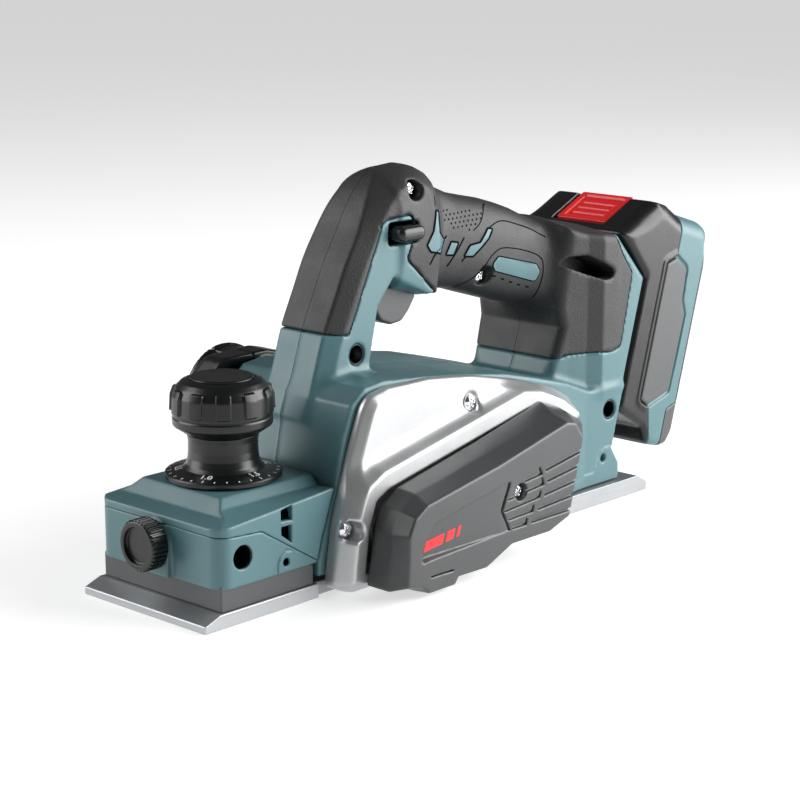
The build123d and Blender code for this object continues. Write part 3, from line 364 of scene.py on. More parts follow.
def meet(a, b, radius):
    """Intersection of two fields with its edge rounded."""
    a, b = a + radius, b + radius
    outside = np.sqrt(np.maximum(a, 0) ** 2 + np.maximum(b, 0) ** 2)
    return np.minimum(np.maximum(a, b), 0) + outside - radius


def nothing(grid):
    """Field with no solid in it, to gather cuts into."""
    return np.full(grid.shape, 50.0, np.float32)


def between(values, low, high):
    """Field of the slab between two values of a coordinate."""
    return np.abs(values - (low + high) / 2) - (high - low) / 2


def slab(grid, points, y_low, y_high, radius=0.0):
    """Side-view outline carried across from y_low to y_high, its edges rounded."""
    return meet(outline_distance(points, grid.x, grid.z), between(grid.y, y_low, y_high), radius)


def bar(grid, centre, radius, y_low, y_high, edge=0.0):
    """Round bar across the tool."""
    spread = np.sqrt((grid.x - centre[0]) ** 2 + (grid.z - centre[1]) ** 2) - radius
    return meet(spread, between(grid.y, y_low, y_high), edge)


def join(a, b, soft):
    """Union of two fields with a fillet between them."""
    if soft == 0:
        return np.minimum(a, b)
    share = np.clip(0.5 + 0.5 * (b - a) / soft, 0, 1)
    return b + (a - b) * share - soft * share * (1 - share)


def cut(a, b, soft=0.0):
    """Field a with field b carved away, its rim slightly rounded."""
    return -join(-a, b, soft)


def softened(field, passes):
    """Field blurred a little, which rounds every edge by about a grid step per pass."""
    for _ in range(passes):
        for axis in range(3):
            field = np.pad(field, [(1, 1) if n == axis else (0, 0) for n in range(3)], mode="edge")
            low, mid, high = [
                tuple(slice(start, field.shape[n] - 2 + start) if n == axis else slice(None) for n in range(3))
                for start in (0, 1, 2)]
            field = 0.25 * field[low] + 0.5 * field[mid] + 0.25 * field[high]
    return field


def surface(grid, field):
    """Closed surface of quads where the field crosses zero (surface nets)."""
    field = np.pad(np.broadcast_to(field, grid.shape), 1, constant_values=grid.step)
    inside = field < 0
    cells = tuple(n - 1 for n in field.shape)
    corners = [(i, j, k) for i in (0, 1) for j in (0, 1) for k in (0, 1)]
    total = np.zeros(cells, np.int8)
    for i, j, k in corners:
        total += inside[i:i + cells[0], j:j + cells[1], k:k + cells[2]]
    active = (total > 0) & (total < 8)
    at = np.argwhere(active)
    number = np.full(cells, -1, np.int32)
    number[active] = np.arange(len(at))
    value = {c: field[at[:, 0] + c[0], at[:, 1] + c[1], at[:, 2] + c[2]] for c in corners}
    where, hits = np.zeros((len(at), 3)), np.zeros(len(at))
    for start in corners:
        for axis in range(3):
            if start[axis]:
                continue
            end = tuple(1 if n == axis else start[n] for n in range(3))
            crossing = (value[start] < 0) != (value[end] < 0)
            gap = value[start] - value[end]
            share = np.where(crossing, value[start] / np.where(gap == 0, 1, gap), 0)
            point = np.tile(np.array(start, float), (len(at), 1))
            point[:, axis] += share
            where[crossing] += point[crossing]
            hits[crossing] += 1
    points = grid.low + (at + where / hits[:, None] - 1) * grid.step
    quads = []
    for axis in range(3):
        u, v = (axis + 1) % 3, (axis + 2) % 3
        near = [slice(1, -1)] * 3
        far = [slice(1, -1)] * 3
        near[axis], far[axis] = slice(0, -1), slice(1, None)
        first, second = inside[tuple(near)], inside[tuple(far)]
        change = first != second
        base = np.argwhere(change)
        for n in range(3):
            if n != axis:
                base[:, n] += 1
        step_u, step_v = np.eye(3, dtype=int)[u], np.eye(3, dtype=int)[v]
        ring = [number[tuple((base - a * step_u - b * step_v).T)] for a, b in ((0, 0), (1, 0), (1, 1), (0, 1))]
        quad = np.stack(ring, 1)
        leaving = first[change]
        quad[~leaving] = quad[~leaving][:, ::-1]
        quads.append(quad)
    return points, np.concatenate(quads)


def field_piece(name, grid, field, material, node=None, body="root"):
    """Piece whose surface is where the field crosses zero."""
    points, quads = surface(grid, field)
    return finish_piece(new_piece(name, points, quads), material, body, replaces=[node] if node else ())


def mirrored(points, faces):
    """The same surface on the other side of the centre plane."""
    return points * np.array([1, -1, 1]), faces[:, ::-1]


def with_mirror(points, faces):
    """The surface and its mirror image as one."""
    return joined([(points, faces), mirrored(points, faces)])


class Flank:
    """How far out from the centre plane a field reaches at each point of the side view."""

    def __init__(self, grid, field):
        inside = field < 0
        count = field.shape[1]
        last = np.clip(count - 1 - np.argmax(inside[:, ::-1, :], axis=1), 0, count - 2)
        a = np.take_along_axis(field, last[:, None, :], 1)[:, 0, :]
        b = np.take_along_axis(field, last[:, None, :] + 1, 1)[:, 0, :]
        self.grid = grid
        reach = grid.low[1] + (last + a / np.where(a == b, 1, a - b)) * grid.step
        self.reach = np.where(inside.any(axis=1), reach, 0)

    def at(self, x, z):
        u = (np.asarray(x) - self.grid.low[0]) / self.grid.step
        v = (np.asarray(z) - self.grid.low[2]) / self.grid.step
        i = np.clip(u.astype(int), 0, self.reach.shape[0] - 2)
        j = np.clip(v.astype(int), 0, self.reach.shape[1] - 2)
        s, t = u - i, v - j
        low = self.reach[i, j] * (1 - s) + self.reach[i + 1, j] * s
        high = self.reach[i, j + 1] * (1 - s) + self.reach[i + 1, j + 1] * s
        return low * (1 - t) + high * t


# ---- Housing and grip --------------------------------------------------------------------
TILT = math.radians(16.5)
PACK_ORIGIN = (314.6, 24.2)
BACK_FACE = -23.3


def from_pack(s, t):
    """Station and height of a point given in the battery's tilted view."""
    return (PACK_ORIGIN[0] + s * math.cos(TILT) + t * math.sin(TILT),
            PACK_ORIGIN[1] - s * math.sin(TILT) + t * math.cos(TILT))


BODY = [(69.2, 9.6), (69.2, 17), (72.4, 28), (80.8, 50), (85.5, 72), (90.5, 85.5), (99.4, 92.4),
        (112, 93.8), (140, 91.4), (169, 87.8), (200, 82.8), (220, 77.8), (250, 69.8), (272, 61.4),
        from_pack(BACK_FACE, 30), from_pack(BACK_FACE, 12), (291.5, 27.1), (297.5, 18.4), (297.7, 9.2),
        (146, 9.2)]
BODY_PLAN = [(50, 41), (240, 41), (268, 37.5), (330, 37.5), (330, -60), (50, -60)]
STRUT_PATH = [(86, 76), (91, 88), (95.2, 100.2), (99.7, 113.3), (108.3, 131.1), (114.6, 144.2),
               (121.8, 155.8), (129, 167.9), (135.0, 175.8), (141.4, 181.6)]
STRUT_FRONT = curved(STRUT_PATH, 3)
STRUT_TOP = curved([STRUT_FRONT[-1], (148.6, 185.0), (157, 186.0), (165, 184.4), (172.4, 180)], 4)
STRUT = STRUT_FRONT + STRUT_TOP[1:] + [(172.4, 124), (166, 124), (142.5, 135), (131.8, 122.6),
                                       (127.6, 104.6), (124.8, 89.6), (122, 78)]
PILLAR = [(262.2, 146.6), (272, 143.4), (293.5, 140.4), from_pack(BACK_FACE, 88), from_pack(BACK_FACE, 30),
          (272, 55), (250, 60), (250, 69.6), (253.1, 78), (258.7, 95), (256.5, 105.3)]
PILLAR_PLAN = [(248.5, 22), (252, 27), (262, 29.5), (273, 33), (281, 37.5), (330, 37.5), (330, -60),
               (248.5, -60)]
GRIP_STATIONS = [150, 160, 168, 182.3, 194.8, 207, 219.2, 230, 239.9, 256, 270, 284]
GRIP_TOP = [176, 179.5, 180.4, 174.1, 169.1, 166.4, 163.9, 160.8, 157.4, 150.2, 146, 142.5]
GRIP_UNDER = [126, 126, 124.2, 122.8, 121.2, 117.4, 113.8, 110.6, 108.2, 105.5, 104.4, 104]
GRIP_HALF = [18.8, 18.6, 18.2, 17.4, 17.6, 18.4, 19.0, 19.4, 19.6, 20.5, 22.5, 26]
STRUT_HALF, STRUT_FACE_HALF = 19.6, 14.4
BAND = 8.4
ARCH_START, ARCH_RISE = 148, 37
GRIP_POWER = 2.5
GRIP_FROM, GRIP_TO = 150, 284
TOP_LIMIT = 186.1
SKIN = 2.5
WALL = 3.0
STEP_GAP = 0.22
SEAM_GAP = 0.12
SEAM_PLANE = 0.15

RUBBER_EDGE = rounded(
    [(80, 113.6), (100, 113.2), (111.7, 111.8), (135.3, 162.4), (152.4, 164.2), (156.4, 157.4),
     (149.2, 143.6), (170.6, 125), (172, 90), (240, 90), (246, 80.2), (250.5, 78.2), (262, 80.5),
     (278.7, 80.4), (289.1, 79.4), (296.2, 81.2), (305.0, 119), (297, 129), (291.6, 138), (292.5, 150),
     (270, 215), (80, 215)],
    [0, 0, 2.5, 4, 4, 2.5, 3, 2, 0, 0, 2, 2, 3, 3, 3, 3, 3, 3, 3, 0, 0, 0])
SCREW_POCKETS = [(116.8, 102), (156.7, 175), (210.9, 127), (288, 48.6)]
POCKET_FLOOR, POCKET_RADIUS, BOSS_RADIUS = 11.0, 4.9, 7.4
LINER = 1.2
SLOT_FLOOR = 19.0
PIN_RADIUS = 1.9
BEYOND = 60
PILLAR_SLOT = rounded([(257.5, 127.5), (262, 131.4), (273, 131.4), (289.8, 122.6), (288, 118.4), (282, 118.0)],
                      3.4)
REAR_PIN = (283.4, 23.1)
LOCK_CENTRE = (147.8, 156.0)
NOZZLE = (118.0, 68.0)
FRAME_SCREWS = [(163.8, 76.0), (78.9, 31.6)]
DRUM = (112.0, 24.0)
MOTOR = (188.0, 44.0)
DRUM_ROOM, MOTOR_HOLE, NOZZLE_HOLE = 29.2, 12, 23.4


def handle_field(grid):
    """Body, strut, grip and pillar as one soft-cornered field; grid.y is the distance off centre.

    The strut's front face narrows to an arch at its top, with a slanted band of even width beside it.
    """
    body = meet(outline_distance(BODY, grid.x, grid.z), outline_distance(BODY_PLAN, grid.x, grid.y), 1.6)
    side = outline_distance(STRUT, grid.x, grid.z)
    depth = path_distance(STRUT_FRONT + STRUT_TOP[1:], grid.x, grid.z)
    arch = STRUT_FACE_HALF * np.sqrt(np.clip(1 - (np.maximum(grid.z - ARCH_START, 0) / ARCH_RISE) ** 2, 0, 1))
    flare = (STRUT_HALF - arch) / BAND
    soft = 1.6 + 6.0 * smooth_step(grid.z, 150, 176) * smooth_step(grid.x, 112, 142)
    strut = meet(side, grid.y - STRUT_HALF, soft)
    strut = meet(strut, (grid.y - arch - flare * depth) / np.sqrt(1 + flare ** 2), 0.8)
    middle = np.interp(grid.x, GRIP_STATIONS, [(a + b) / 2 for a, b in zip(GRIP_TOP, GRIP_UNDER)])
    tall = np.interp(grid.x, GRIP_STATIONS, [(a - b) / 2 for a, b in zip(GRIP_TOP, GRIP_UNDER)])
    half = np.interp(grid.x, GRIP_STATIONS, GRIP_HALF)
    ring = np.abs(grid.y / half) ** GRIP_POWER + np.abs((grid.z - middle) / tall) ** GRIP_POWER
    grip = (ring ** (1 / GRIP_POWER) - 1) * np.minimum(half, tall)
    grip = np.maximum(grip, between(grid.x, GRIP_FROM, GRIP_TO))
    pillar = meet(outline_distance(PILLAR, grid.x, grid.z), outline_distance(PILLAR_PLAN, grid.x, grid.y), 4.0)
    upper = join(join(strut, grip, 9), pillar, 12)
    whole = join(upper, body, 5)
    edge_x, edge_z = from_pack(BACK_FACE, 0)
    back = (grid.x - edge_x) * math.cos(TILT) - (grid.z - edge_z) * math.sin(TILT)
    back = np.where(grid.z > 28, back, -50)
    return np.maximum(np.maximum(whole, back), grid.z - TOP_LIMIT).astype(np.float32)


def pocket_cuts(grid, left):
    """Screw pockets, the button's recess, the pillar's slot and the rear pin's hole, as one field."""
    carve = nothing(grid)
    for centre in SCREW_POCKETS:
        carve = np.minimum(carve, bar(grid, centre, POCKET_RADIUS, POCKET_FLOOR, BEYOND))
    carve = np.minimum(carve, slab(grid, PILLAR_SLOT, SLOT_FLOOR, BEYOND))
    carve = np.minimum(carve, bar(grid, REAR_PIN, PIN_RADIUS, 30, BEYOND))
    if left:
        well = rounded([(138.6, 150.6), (157.2, 150.6), (157.2, 161), (138.6, 161)], 2.2)
        carve = join(carve, slab(grid, well, 11, 40), 0)
    else:
        carve = join(carve, bar(grid, LOCK_CENTRE, 5.3, 11, 40), 0)
    return carve


def inner_cuts(grid):
    """Trigger well, drum space and the battery's opening, seen from either side."""
    well = rounded([(137.6, 116), (171.6, 116), (171.6, 137), (166, 147), (141, 147), (138.4, 140)], 2)
    carve = slab(grid, well, -5, 9.2)
    carve = join(carve, bar(grid, DRUM, DRUM_ROOM, -5, 50), 0)
    pack = [from_pack(s, t) for s, t in ((-27, 20), (-18, 20), (-18, 86), (-27, 86))]
    return join(carve, slab(grid, pack, -5, 31), 0)


def lug_lines(grid):
    """Moulded parting lines low on the body side, a fraction of a millimetre deep."""
    rim = [(256.6, 10), (256.6, 14.5), (262, 16.6), (275.8, 17.2), (278.2, 19), (279, 24.5), (281.5, 28),
           (285.5, 29), (291, 28.4)]
    return path_distance(rim, grid.x, grid.z) - 0.55


def body_vents(grid):
    """Cooling louvres in the right-hand wall beside the motor."""
    carve = nothing(grid)
    for row in range(6):
        x = 172 + row * 8
        louvre = rounded([(x, 30), (x + 3.4, 30), (x + 9.4, 58), (x + 6, 58)], 1.4)
        carve = np.minimum(carve, slab(grid, louvre, 34, 50))
    return carve


def sampled(grid, field, points):
    """Field values at points, by trilinear interpolation."""
    spot = (points - grid.low) / grid.step
    cell = np.clip(spot.astype(int), 0, np.array(field.shape) - 2)
    share = spot - cell
    total = np.zeros(len(points))
    for i in (0, 1):
        for j in (0, 1):
            for k in (0, 1):
                weight = (np.abs(1 - i - share[:, 0]) * np.abs(1 - j - share[:, 1]) * np.abs(1 - k - share[:, 2]))
                total += weight * field[cell[:, 0] + i, cell[:, 1] + j, cell[:, 2] + k]
    return total


def close_seam(points, grid, outside):
    """Brings the points beside the centre plane up to it, and back out to the skin where they sagged."""
    first = grid.low[1] + math.ceil((SEAM_PLANE - grid.low[1]) / grid.step) * grid.step
    near = points[:, 1] < first - 0.001
    edge = points[near]
    edge[:, 1] = 0.8 * first
    probe, least = 0.8, 0.2
    for _ in range(2):
        value = sampled(grid, outside, edge)
        slopes = [(sampled(grid, outside, edge + step) - sampled(grid, outside, edge - step)) / (2 * probe)
                  for step in (np.array([probe, 0, 0]), np.array([0, 0, probe]))]
        size = slopes[0] ** 2 + slopes[1] ** 2
        shift = np.where((np.abs(value) < 1.0) & (size > least), value / np.maximum(size, least), 0)
        edge[:, 0] -= shift * slopes[0]
        edge[:, 2] -= shift * slopes[1]
    edge[:, 1] = SEAM_GAP
    points[near] = edge
    return points


def make_housing():
    """Two shell halves with their soft skins. Returns how far out the skin reaches.

    liner is the rubber that lines the slot in the pillar and the two pockets in the grip.
    """
    grid = Grid((66, -2, 7), (322, 43, 189), COARSE)
    whole = handle_field(grid)
    flank = Flank(grid, whole)
    rubber_zone = outline_distance(RUBBER_EDGE, grid.x, grid.z)
    seam = SEAM_PLANE - grid.y
    hollow = -(whole + SKIN + WALL)
    for centre in SCREW_POCKETS:
        hollow = np.minimum(hollow, bar(grid, centre, BOSS_RADIUS, -5, BEYOND))
    liner = slab(grid, PILLAR_SLOT, SLOT_FLOOR - LINER, BEYOND) - LINER
    for centre in SCREW_POCKETS[1:3]:
        liner = np.minimum(liner, bar(grid, centre, POCKET_RADIUS + LINER, POCKET_FLOOR - LINER, BEYOND))
    for left in (True, False):
        label = "left" if left else "right"
        carve = np.minimum(pocket_cuts(grid, left), inner_cuts(grid))
        if left:
            carve = np.minimum(carve, bar(grid, MOTOR, MOTOR_HOLE, 30, 50))
        else:
            carve = np.minimum(carve, bar(grid, NOZZLE, NOZZLE_HOLE, 30, 50))
            carve = np.minimum(carve, body_vents(grid))
        outer = cut(whole, carve, 0.8)
        skin = np.maximum(np.maximum(outer, np.minimum(-(whole + SKIN), liner)),
                          np.maximum(rubber_zone + STEP_GAP, seam))
        shell = np.maximum(outer + 0.25, np.minimum(-rubber_zone + STEP_GAP, whole + SKIN + 0.15))
        shell = np.maximum(np.maximum(shell, hollow), np.maximum(seam, 0.2 - liner))
        shell = np.maximum(shell, -np.maximum(lug_lines(grid), -0.5 - whole))
        for field, name, material, node in (
                (skin, f"grip_skin_{label}", "grip_rubber", f"grip_rubber_{label}"),
                (shell, f"shell_{label}", "teal_plastic", f"housing_{label}")):
            points, quads = surface(grid, field)
            points = close_seam(points, grid, outer)
            if left:
                points, quads = mirrored(points, quads)
            half = new_piece(name, points, quads)
            half.data.set_sharp_from_angle(angle=math.radians(55))
            finish_piece(half, material, "root", replaces=[node])
    return flank


FLANK = make_housing()


def make_pocket_shade_rings():
    """Dark rings that line the two screw pockets in the bare plastic, on both sides: painted shade that makes the
    pockets as dark inside as deep holes.
    """
    parts = []
    for centre in (SCREW_POCKETS[0], SCREW_POCKETS[3]):
        mouth = float(FLANK.at(*centre)) - 0.9
        x, z = centre
        grid = Grid((x - 5.6, POCKET_FLOOR - 0.6, z - 5.6), (x + 5.6, mouth + 0.6, z + 5.6), 0.3 * COARSE)
        ring = bar(grid, centre, POCKET_RADIUS, POCKET_FLOOR + 0.2, mouth)
        ring = np.maximum(ring, -bar(grid, centre, POCKET_RADIUS - 0.6, 0, 80))
        parts.append(with_mirror(*surface(grid, ring)))
    points, quads = joined(parts)
    finish_piece(new_piece("pocket_shade_rings", points, quads), "black_plastic", "root")


make_pocket_shade_rings()


# ---- Marks on the grip -------------------------------------------------------------------
def on_flank(x, z, lift):
    """Points on the left skin at a side-view place, moved out along the skin's normal."""
    step = 0.8
    slope_x = (FLANK.at(x + step, z) - FLANK.at(x - step, z)) / (2 * step)
    slope_z = (FLANK.at(x, z + step) - FLANK.at(x, z - step)) / (2 * step)
    size = np.sqrt(1 + slope_x ** 2 + slope_z ** 2)
    return np.stack([x - slope_x / size * lift, -(FLANK.at(x, z) + lift / size), z - slope_z / size * lift], -1)


def filled(outline, spacing):
    """Triangles that fill a side-view outline, with points inside so that they can follow a curved skin."""
    ring = np.array(outline, float)
    low, high = ring.min(0), ring.max(0)
    grid_x, grid_z = np.meshgrid(np.arange(low[0], high[0], spacing), np.arange(low[1], high[1], spacing))
    grid_x, grid_z = grid_x.ravel(), grid_z.ravel()
    keep = outline_distance(outline, grid_x, grid_z) < -0.45 * spacing
    places = np.concatenate([ring, np.stack([grid_x[keep], grid_z[keep]], -1)])
    made = delaunay_2d_cdt([Vector(p) for p in places], [], [list(range(len(ring)))], 1, 1e-4)
    return np.array([tuple(v) for v in made[0]]), np.array([tuple(f) for f in made[2]])


def raised_patch(outline, lift, sink=0.5, spacing=1.0):
    """Closed plate that follows the skin inside an outline, its top lift above the skin."""
    places, triangles = filled(outline, spacing)
    top = on_flank(places[:, 0], places[:, 1], lift)
    bottom = on_flank(places[:, 0], places[:, 1], -sink)
    count = len(places)
    rim = rim_edges(triangles)
    walls = [(b, a, a + count) for a, b in rim] + [(b, a + count, b + count) for a, b in rim]
    return np.concatenate([top, bottom]), np.concatenate([triangles, triangles[:, ::-1] + count, np.array(walls)])


def ribbon(path, half, lift):
    """Thin closed strip along a path on the skin."""
    fine = [np.array(path[0], float)]
    for a, b in zip(path[:-1], path[1:]):
        steps = max(1, int(math.dist(a, b) / 0.8))
        fine += [np.array(a) + (np.array(b) - np.array(a)) * n / steps for n in range(1, steps + 1)]
    line = np.array(fine)
    along = np.gradient(line, axis=0)
    side = np.stack([-along[:, 1], along[:, 0]], -1) / np.linalg.norm(along, axis=1)[:, None] * half
    corners = [on_flank(*(line + side * sign).T, height) for height in (lift, -0.4) for sign in (-1, 1)]
    count = len(line)
    faces = []
    for first, second in ((0, 1), (1, 3), (3, 2), (2, 0)):
        for n in range(count - 1):
            a, b = first * count + n, second * count + n
            faces += [(a, b, b + 1), (a, b + 1, a + 1)]
    for end, flip in ((0, 1), (count - 1, -1)):
        a, b, c, d = (end + k * count for k in (0, 1, 3, 2))
        faces += [(a, b, c)[::flip], (a, c, d)[::flip]]
    return np.concatenate(corners), np.array(faces)


INLAYS = [
    [(169.8, 164.5), (172.6, 163.2), (172.4, 153.4), (178.9, 149.0), (173.6, 142.9), (165.6, 144.8),
     (162.9, 148.2), (167.6, 154.6)],
    [(184.4, 147.2), (189.8, 146.2), (186.5, 140.3), (180.6, 140.9)],
    [(211.0, 150.9), (214.6, 150.2), (211.1, 145.7), (205.2, 141.4), (200.2, 138.0), (193.8, 138.7),
     (198.0, 143.9), (205.0, 144.6)],
]
BADGE = [(218.2, 135.9), (246.4, 128.7), (249.4, 124.6), (246.7, 120.0), (217.0, 128.9), (214.4, 132.2)]
SLASHES = [[(165.4, 138.6), (170.2, 144.2), (181.0, 150.2)], [(183.0, 135.0), (187.9, 141.0), (193.8, 148.0)],
           [(192.8, 136.3), (198.6, 141.8)]]
GRIP_SEAMS = [
    [(170.0, 171.0), (169.5, 166.5)],
    [(216.5, 161.8), (213.1, 160.6), (209.8, 157.5), (205.7, 153.6), (200.7, 150.8)],
    [(212.8, 151.2), (219.5, 153.0), (226, 152.6), (233.7, 150.4), (245.5, 146.4), (254.9, 141.6)],
    [(196.5, 122.6), (203.0, 126.6), (208.6, 131.6), (213.1, 136.6), (219.9, 139.8), (230.4, 138.6),
     (241.9, 135.5), (249.7, 131.8), (251.4, 127.0), (250.9, 119.0), (250.3, 110.5)],
]
STIPPLE = [(179.0, 163.5), (212.0, 158.8), (206.8, 154.6), (198, 151.4), (186, 152.6), (179.8, 157.5)]
BADGE_HOLES = [(217.0, 126.1), (223.4, 123.8), (229.7, 121.5), (236.1, 119.3), (242.7, 117.4)]
INLAY_CORNER, BADGE_CORNER = 0.9, 2.2
DOT_RADIUS, DOT_ROW, DOT_PITCH = 0.55, 2.2, 3.2


def grip_piece(name, parts, material):
    points, faces = joined(parts)
    finish_piece(new_piece(name, points, faces, smooth=False), material, "root")


def closed_ribbon(loop, half, lift):
    return ribbon(loop + loop[:1], half, lift)


def make_grip_marks():
    """Teal inlays with dark edges, a blank badge, seams, a stippled patch and a row of small holes; the dark
    edges, seams, slashes, stipple dots and holes are near-black strips and plates of painted shade laid on the
    skin, not cut into it.
    """
    badge = rounded(BADGE, BADGE_CORNER)
    loops = [rounded(outline, INLAY_CORNER) for outline in INLAYS]
    grip_piece("grip_inlays", [raised_patch(loop, 0.16) for loop in loops] + [raised_patch(badge, 0.3)],
               "teal_plastic")
    # Painted shade: near-black strips round the inlays and the badge, and along the slashes and seams, stand in
    # for the shade in their grooves.
    lines = [closed_ribbon(loop, 0.48, 0.3) for loop in loops]
    lines.append(closed_ribbon(badge, 0.6, 0.22))
    lines += [ribbon(curved(path), 0.42, 0.16) for path in SLASHES]
    lines += [ribbon(curved(path), 0.27, 0.14) for path in GRIP_SEAMS]
    grip_piece("grip_groove_shade_lines", lines, "seam_shadow")
    # Painted shade: near-black dots for the stippled patch and slivers for the badge's holes stand in for the
    # shade inside them.
    dots = []
    for row, z in enumerate(np.arange(151.5, 164.5, DOT_ROW)):
        for x in np.arange(178.5 + DOT_PITCH / 2 * (row % 2), 213, DOT_PITCH):
            if outline_distance(STIPPLE, np.array(x), np.array(z)) < 0:
                octagon = [(x + DOT_RADIUS * math.cos(k * math.pi / 4), z + DOT_RADIUS * math.sin(k * math.pi / 4))
                           for k in range(8)]
                dots.append(raised_patch(octagon, 0.1, 0.3, 2.0))
    for x, z in BADGE_HOLES:
        sliver = [(x - 1.3, z - 0.1), (x + 1.3, z - 0.8), (x + 1.3, z - 0.1), (x - 1.1, z + 0.7)]
        dots.append(raised_patch(sliver, 0.06, 0.3, 2.0))
    grip_piece("grip_dot_and_hole_shade", dots, "seam_shadow")


make_grip_marks()


# ---- Belt side frame and cover -----------------------------------------------------------
FRAME_OUTLINE = rounded(
    [(71.5, 4.6), (74.5, 24), (76.4, 36), (86, 64), (94.1, 84.6), (99, 89.4), (109.4, 91.4), (138.4, 91.2),
     (168.9, 87.6), (200.8, 80.6), (228.7, 72), (243, 64.8), (245.3, 60), (242, 54.5), (214, 38), (207, 14),
     (192, 10), (160, 10), (142, 3.5), (80, 2.2)],
    [4, 0, 12, 0, 12, 8, 12, 40, 40, 40, 40, 3, 3, 3, 6, 6, 4, 4, 4, 6])
RIDGE = rounded(
    [(76, 3.6), (79.6, 32.4), (85.5, 48.7), (97, 54.6), (196.6, 75.1), (210.3, 73.6), (226, 66), (241, 55.5),
     (212, 38), (205.5, 13), (190, 8.6), (161, 8.6), (143, 3), (124, 2.6)],
    [3, 14, 10, 12, 10, 8, 4, 2, 6, 5, 4, 4, 4, 4])
FRAME_BACK, FRAME_FACE, RIDGE_FACE = 41.0, 48.6, 56.0
BEVEL_WIDTH, BEVEL_DROP = 4.4, 3.8
RISE_WIDTH = 8.5
COVER_SCREW = (167.1, 36.6)

COVER_FOOT = [(84, 5.5), (89.2, 30.1), (93.5, 41.5), (104, 48), (157.7, 59.3), (206.7, 70.7), (218, 66.5),
              (239.5, 55), (212.5, 39), (206.5, 13.5), (191, 9.5), (161, 9.5), (143, 3.4), (123, 3.4),
              (120.7, 0.8), (103, 0.8), (98.5, 3.6)]
COVER_MIDDLE = [(86, 4.5), (88.4, 30.5), (93.4, 41), (103.8, 46.8), (155, 56.6), (202.5, 66.5), (212.6, 66),
                (226, 56.5), (212.5, 39.5), (206, 14), (190.5, 10.2), (161, 10.2), (143, 3.8), (123, 3.8),
                (120.7, 1.2), (103, 1.2), (98.5, 4)]
COVER_OUTER = [(89, 8), (90, 31.5), (93.9, 39), (101.5, 43.7), (150.2, 52.2), (201.5, 64), (208, 62.5),
               (213.6, 53.9), (210.6, 40.2), (204.3, 17.1), (189.3, 12.3), (161.2, 12.4), (143.2, 5),
               (123.1, 5.3), (120.7, 2), (103, 2), (98.7, 5.6)]
COVER_DEPTHS = (56.0, 68.0, 78.0)
COVER_SLOTS = [((185.8, 43.8), (216, 48.6)), ((187.3, 38.2), (216, 41.7)), ((185, 31.8), (216, 34.6)),
               ((180.2, 25.7), (214, 27.4)), ((175.6, 20.3), (212, 20.3))]
HOOKED_SLOTS = [[(170.4, 41.4), (182.2, 42.5), (180.6, 45.4)], [(157.8, 34.9), (183.6, 37.2), (182.6, 40)],
                [(155.4, 29.7), (180.6, 31.4), (181.4, 33.7)], [(158.5, 25.1), (175.6, 25.5), (176.2, 27.8)],
                [(161.3, 20.2), (170.8, 20.1), (171.4, 22.4)]]
CHEVRON = [(158.6, 42.2), (153.3, 30.2), (158.6, 20.0)]
FOOT_LINE = [(104, 9.6), (119, 9.4)]
PANEL = rounded([(97.2, 16.6), (98.2, 24.5), (105.6, 34.4), (160.5, 43.8), (157.6, 41.6), (152.9, 30.2),
                 (158, 19.6), (104, 17.4)], [2.5, 6, 5, 1, 1, 1, 0.6, 2])


def belt_frame_field(grid):
    """Outer rim bevel, shallow valley, then a concave rise to the bead that the cover sits behind."""
    rim = outline_distance(FRAME_OUTLINE, grid.x, grid.z)
    ridge = outline_distance(RIDGE, grid.x, grid.z)
    bevel = np.clip(-rim / BEVEL_WIDTH, 0, 1)
    rise = np.clip(1 - (ridge - 1.2) / RISE_WIDTH, 0, 1) ** 2.4
    face = FRAME_FACE - BEVEL_DROP * (1 - bevel) + (RIDGE_FACE - FRAME_FACE) * rise
    solid = meet(rim, (-grid.y - face) * 0.85, 0.5)
    solid = np.maximum(solid, grid.y + FRAME_BACK)
    chamber = np.maximum(ridge + 7.3, grid.y + FRAME_FACE - 4)
    solid = cut(softened(solid.astype(np.float32), 2), chamber, 0.4)
    for centre in FRAME_SCREWS:
        solid = cut(solid, bar(grid, centre, 4.6, -60, -47.3), 1.6)
        solid = cut(solid, bar(grid, centre, 2.0, -60, -35), 0)
    for centre, radius in ((DRUM, 6.5), (MOTOR, 5.5)):
        solid = cut(solid, bar(grid, centre, 11.0, -47.9, -30), 0)
        solid = cut(solid, bar(grid, centre, radius, -60, -30), 0)
    corner = rounded([(74.6, 27.4), (74.6, 30.4), (77.2, 36.6), (80.2, 36.2), (78.9, 27.2)], 0.8)
    boss = slab(grid, corner, -50.6, -45, 0.6)
    boss = cut(boss, bar(grid, FRAME_SCREWS[1], 4.4, -60, -47.3), 0.5)
    return join(solid, np.maximum(boss, rim), 0.8)


PANEL_SINK, PANEL_START, PANEL_RUN = 3.0, 97.0, 62.0
COVER_WALL = 2.6
COVER_FACE_WALL = 2.8


def panel_sink(x):
    """How far the arrow panel lies below the cover's face: deepest at the front."""
    return np.clip(PANEL_SINK * (1 - (x - PANEL_START) / PANEL_RUN), 0.35, PANEL_SINK)


def groove(grid, path, half_width, depth, above=3.0):
    """Square groove along a path in the side view, cut down from the cover's face."""
    face = COVER_DEPTHS[2]
    return np.maximum(path_distance(path, grid.x, grid.z) - half_width,
                      between(grid.y, -face - above, -(face - depth)))


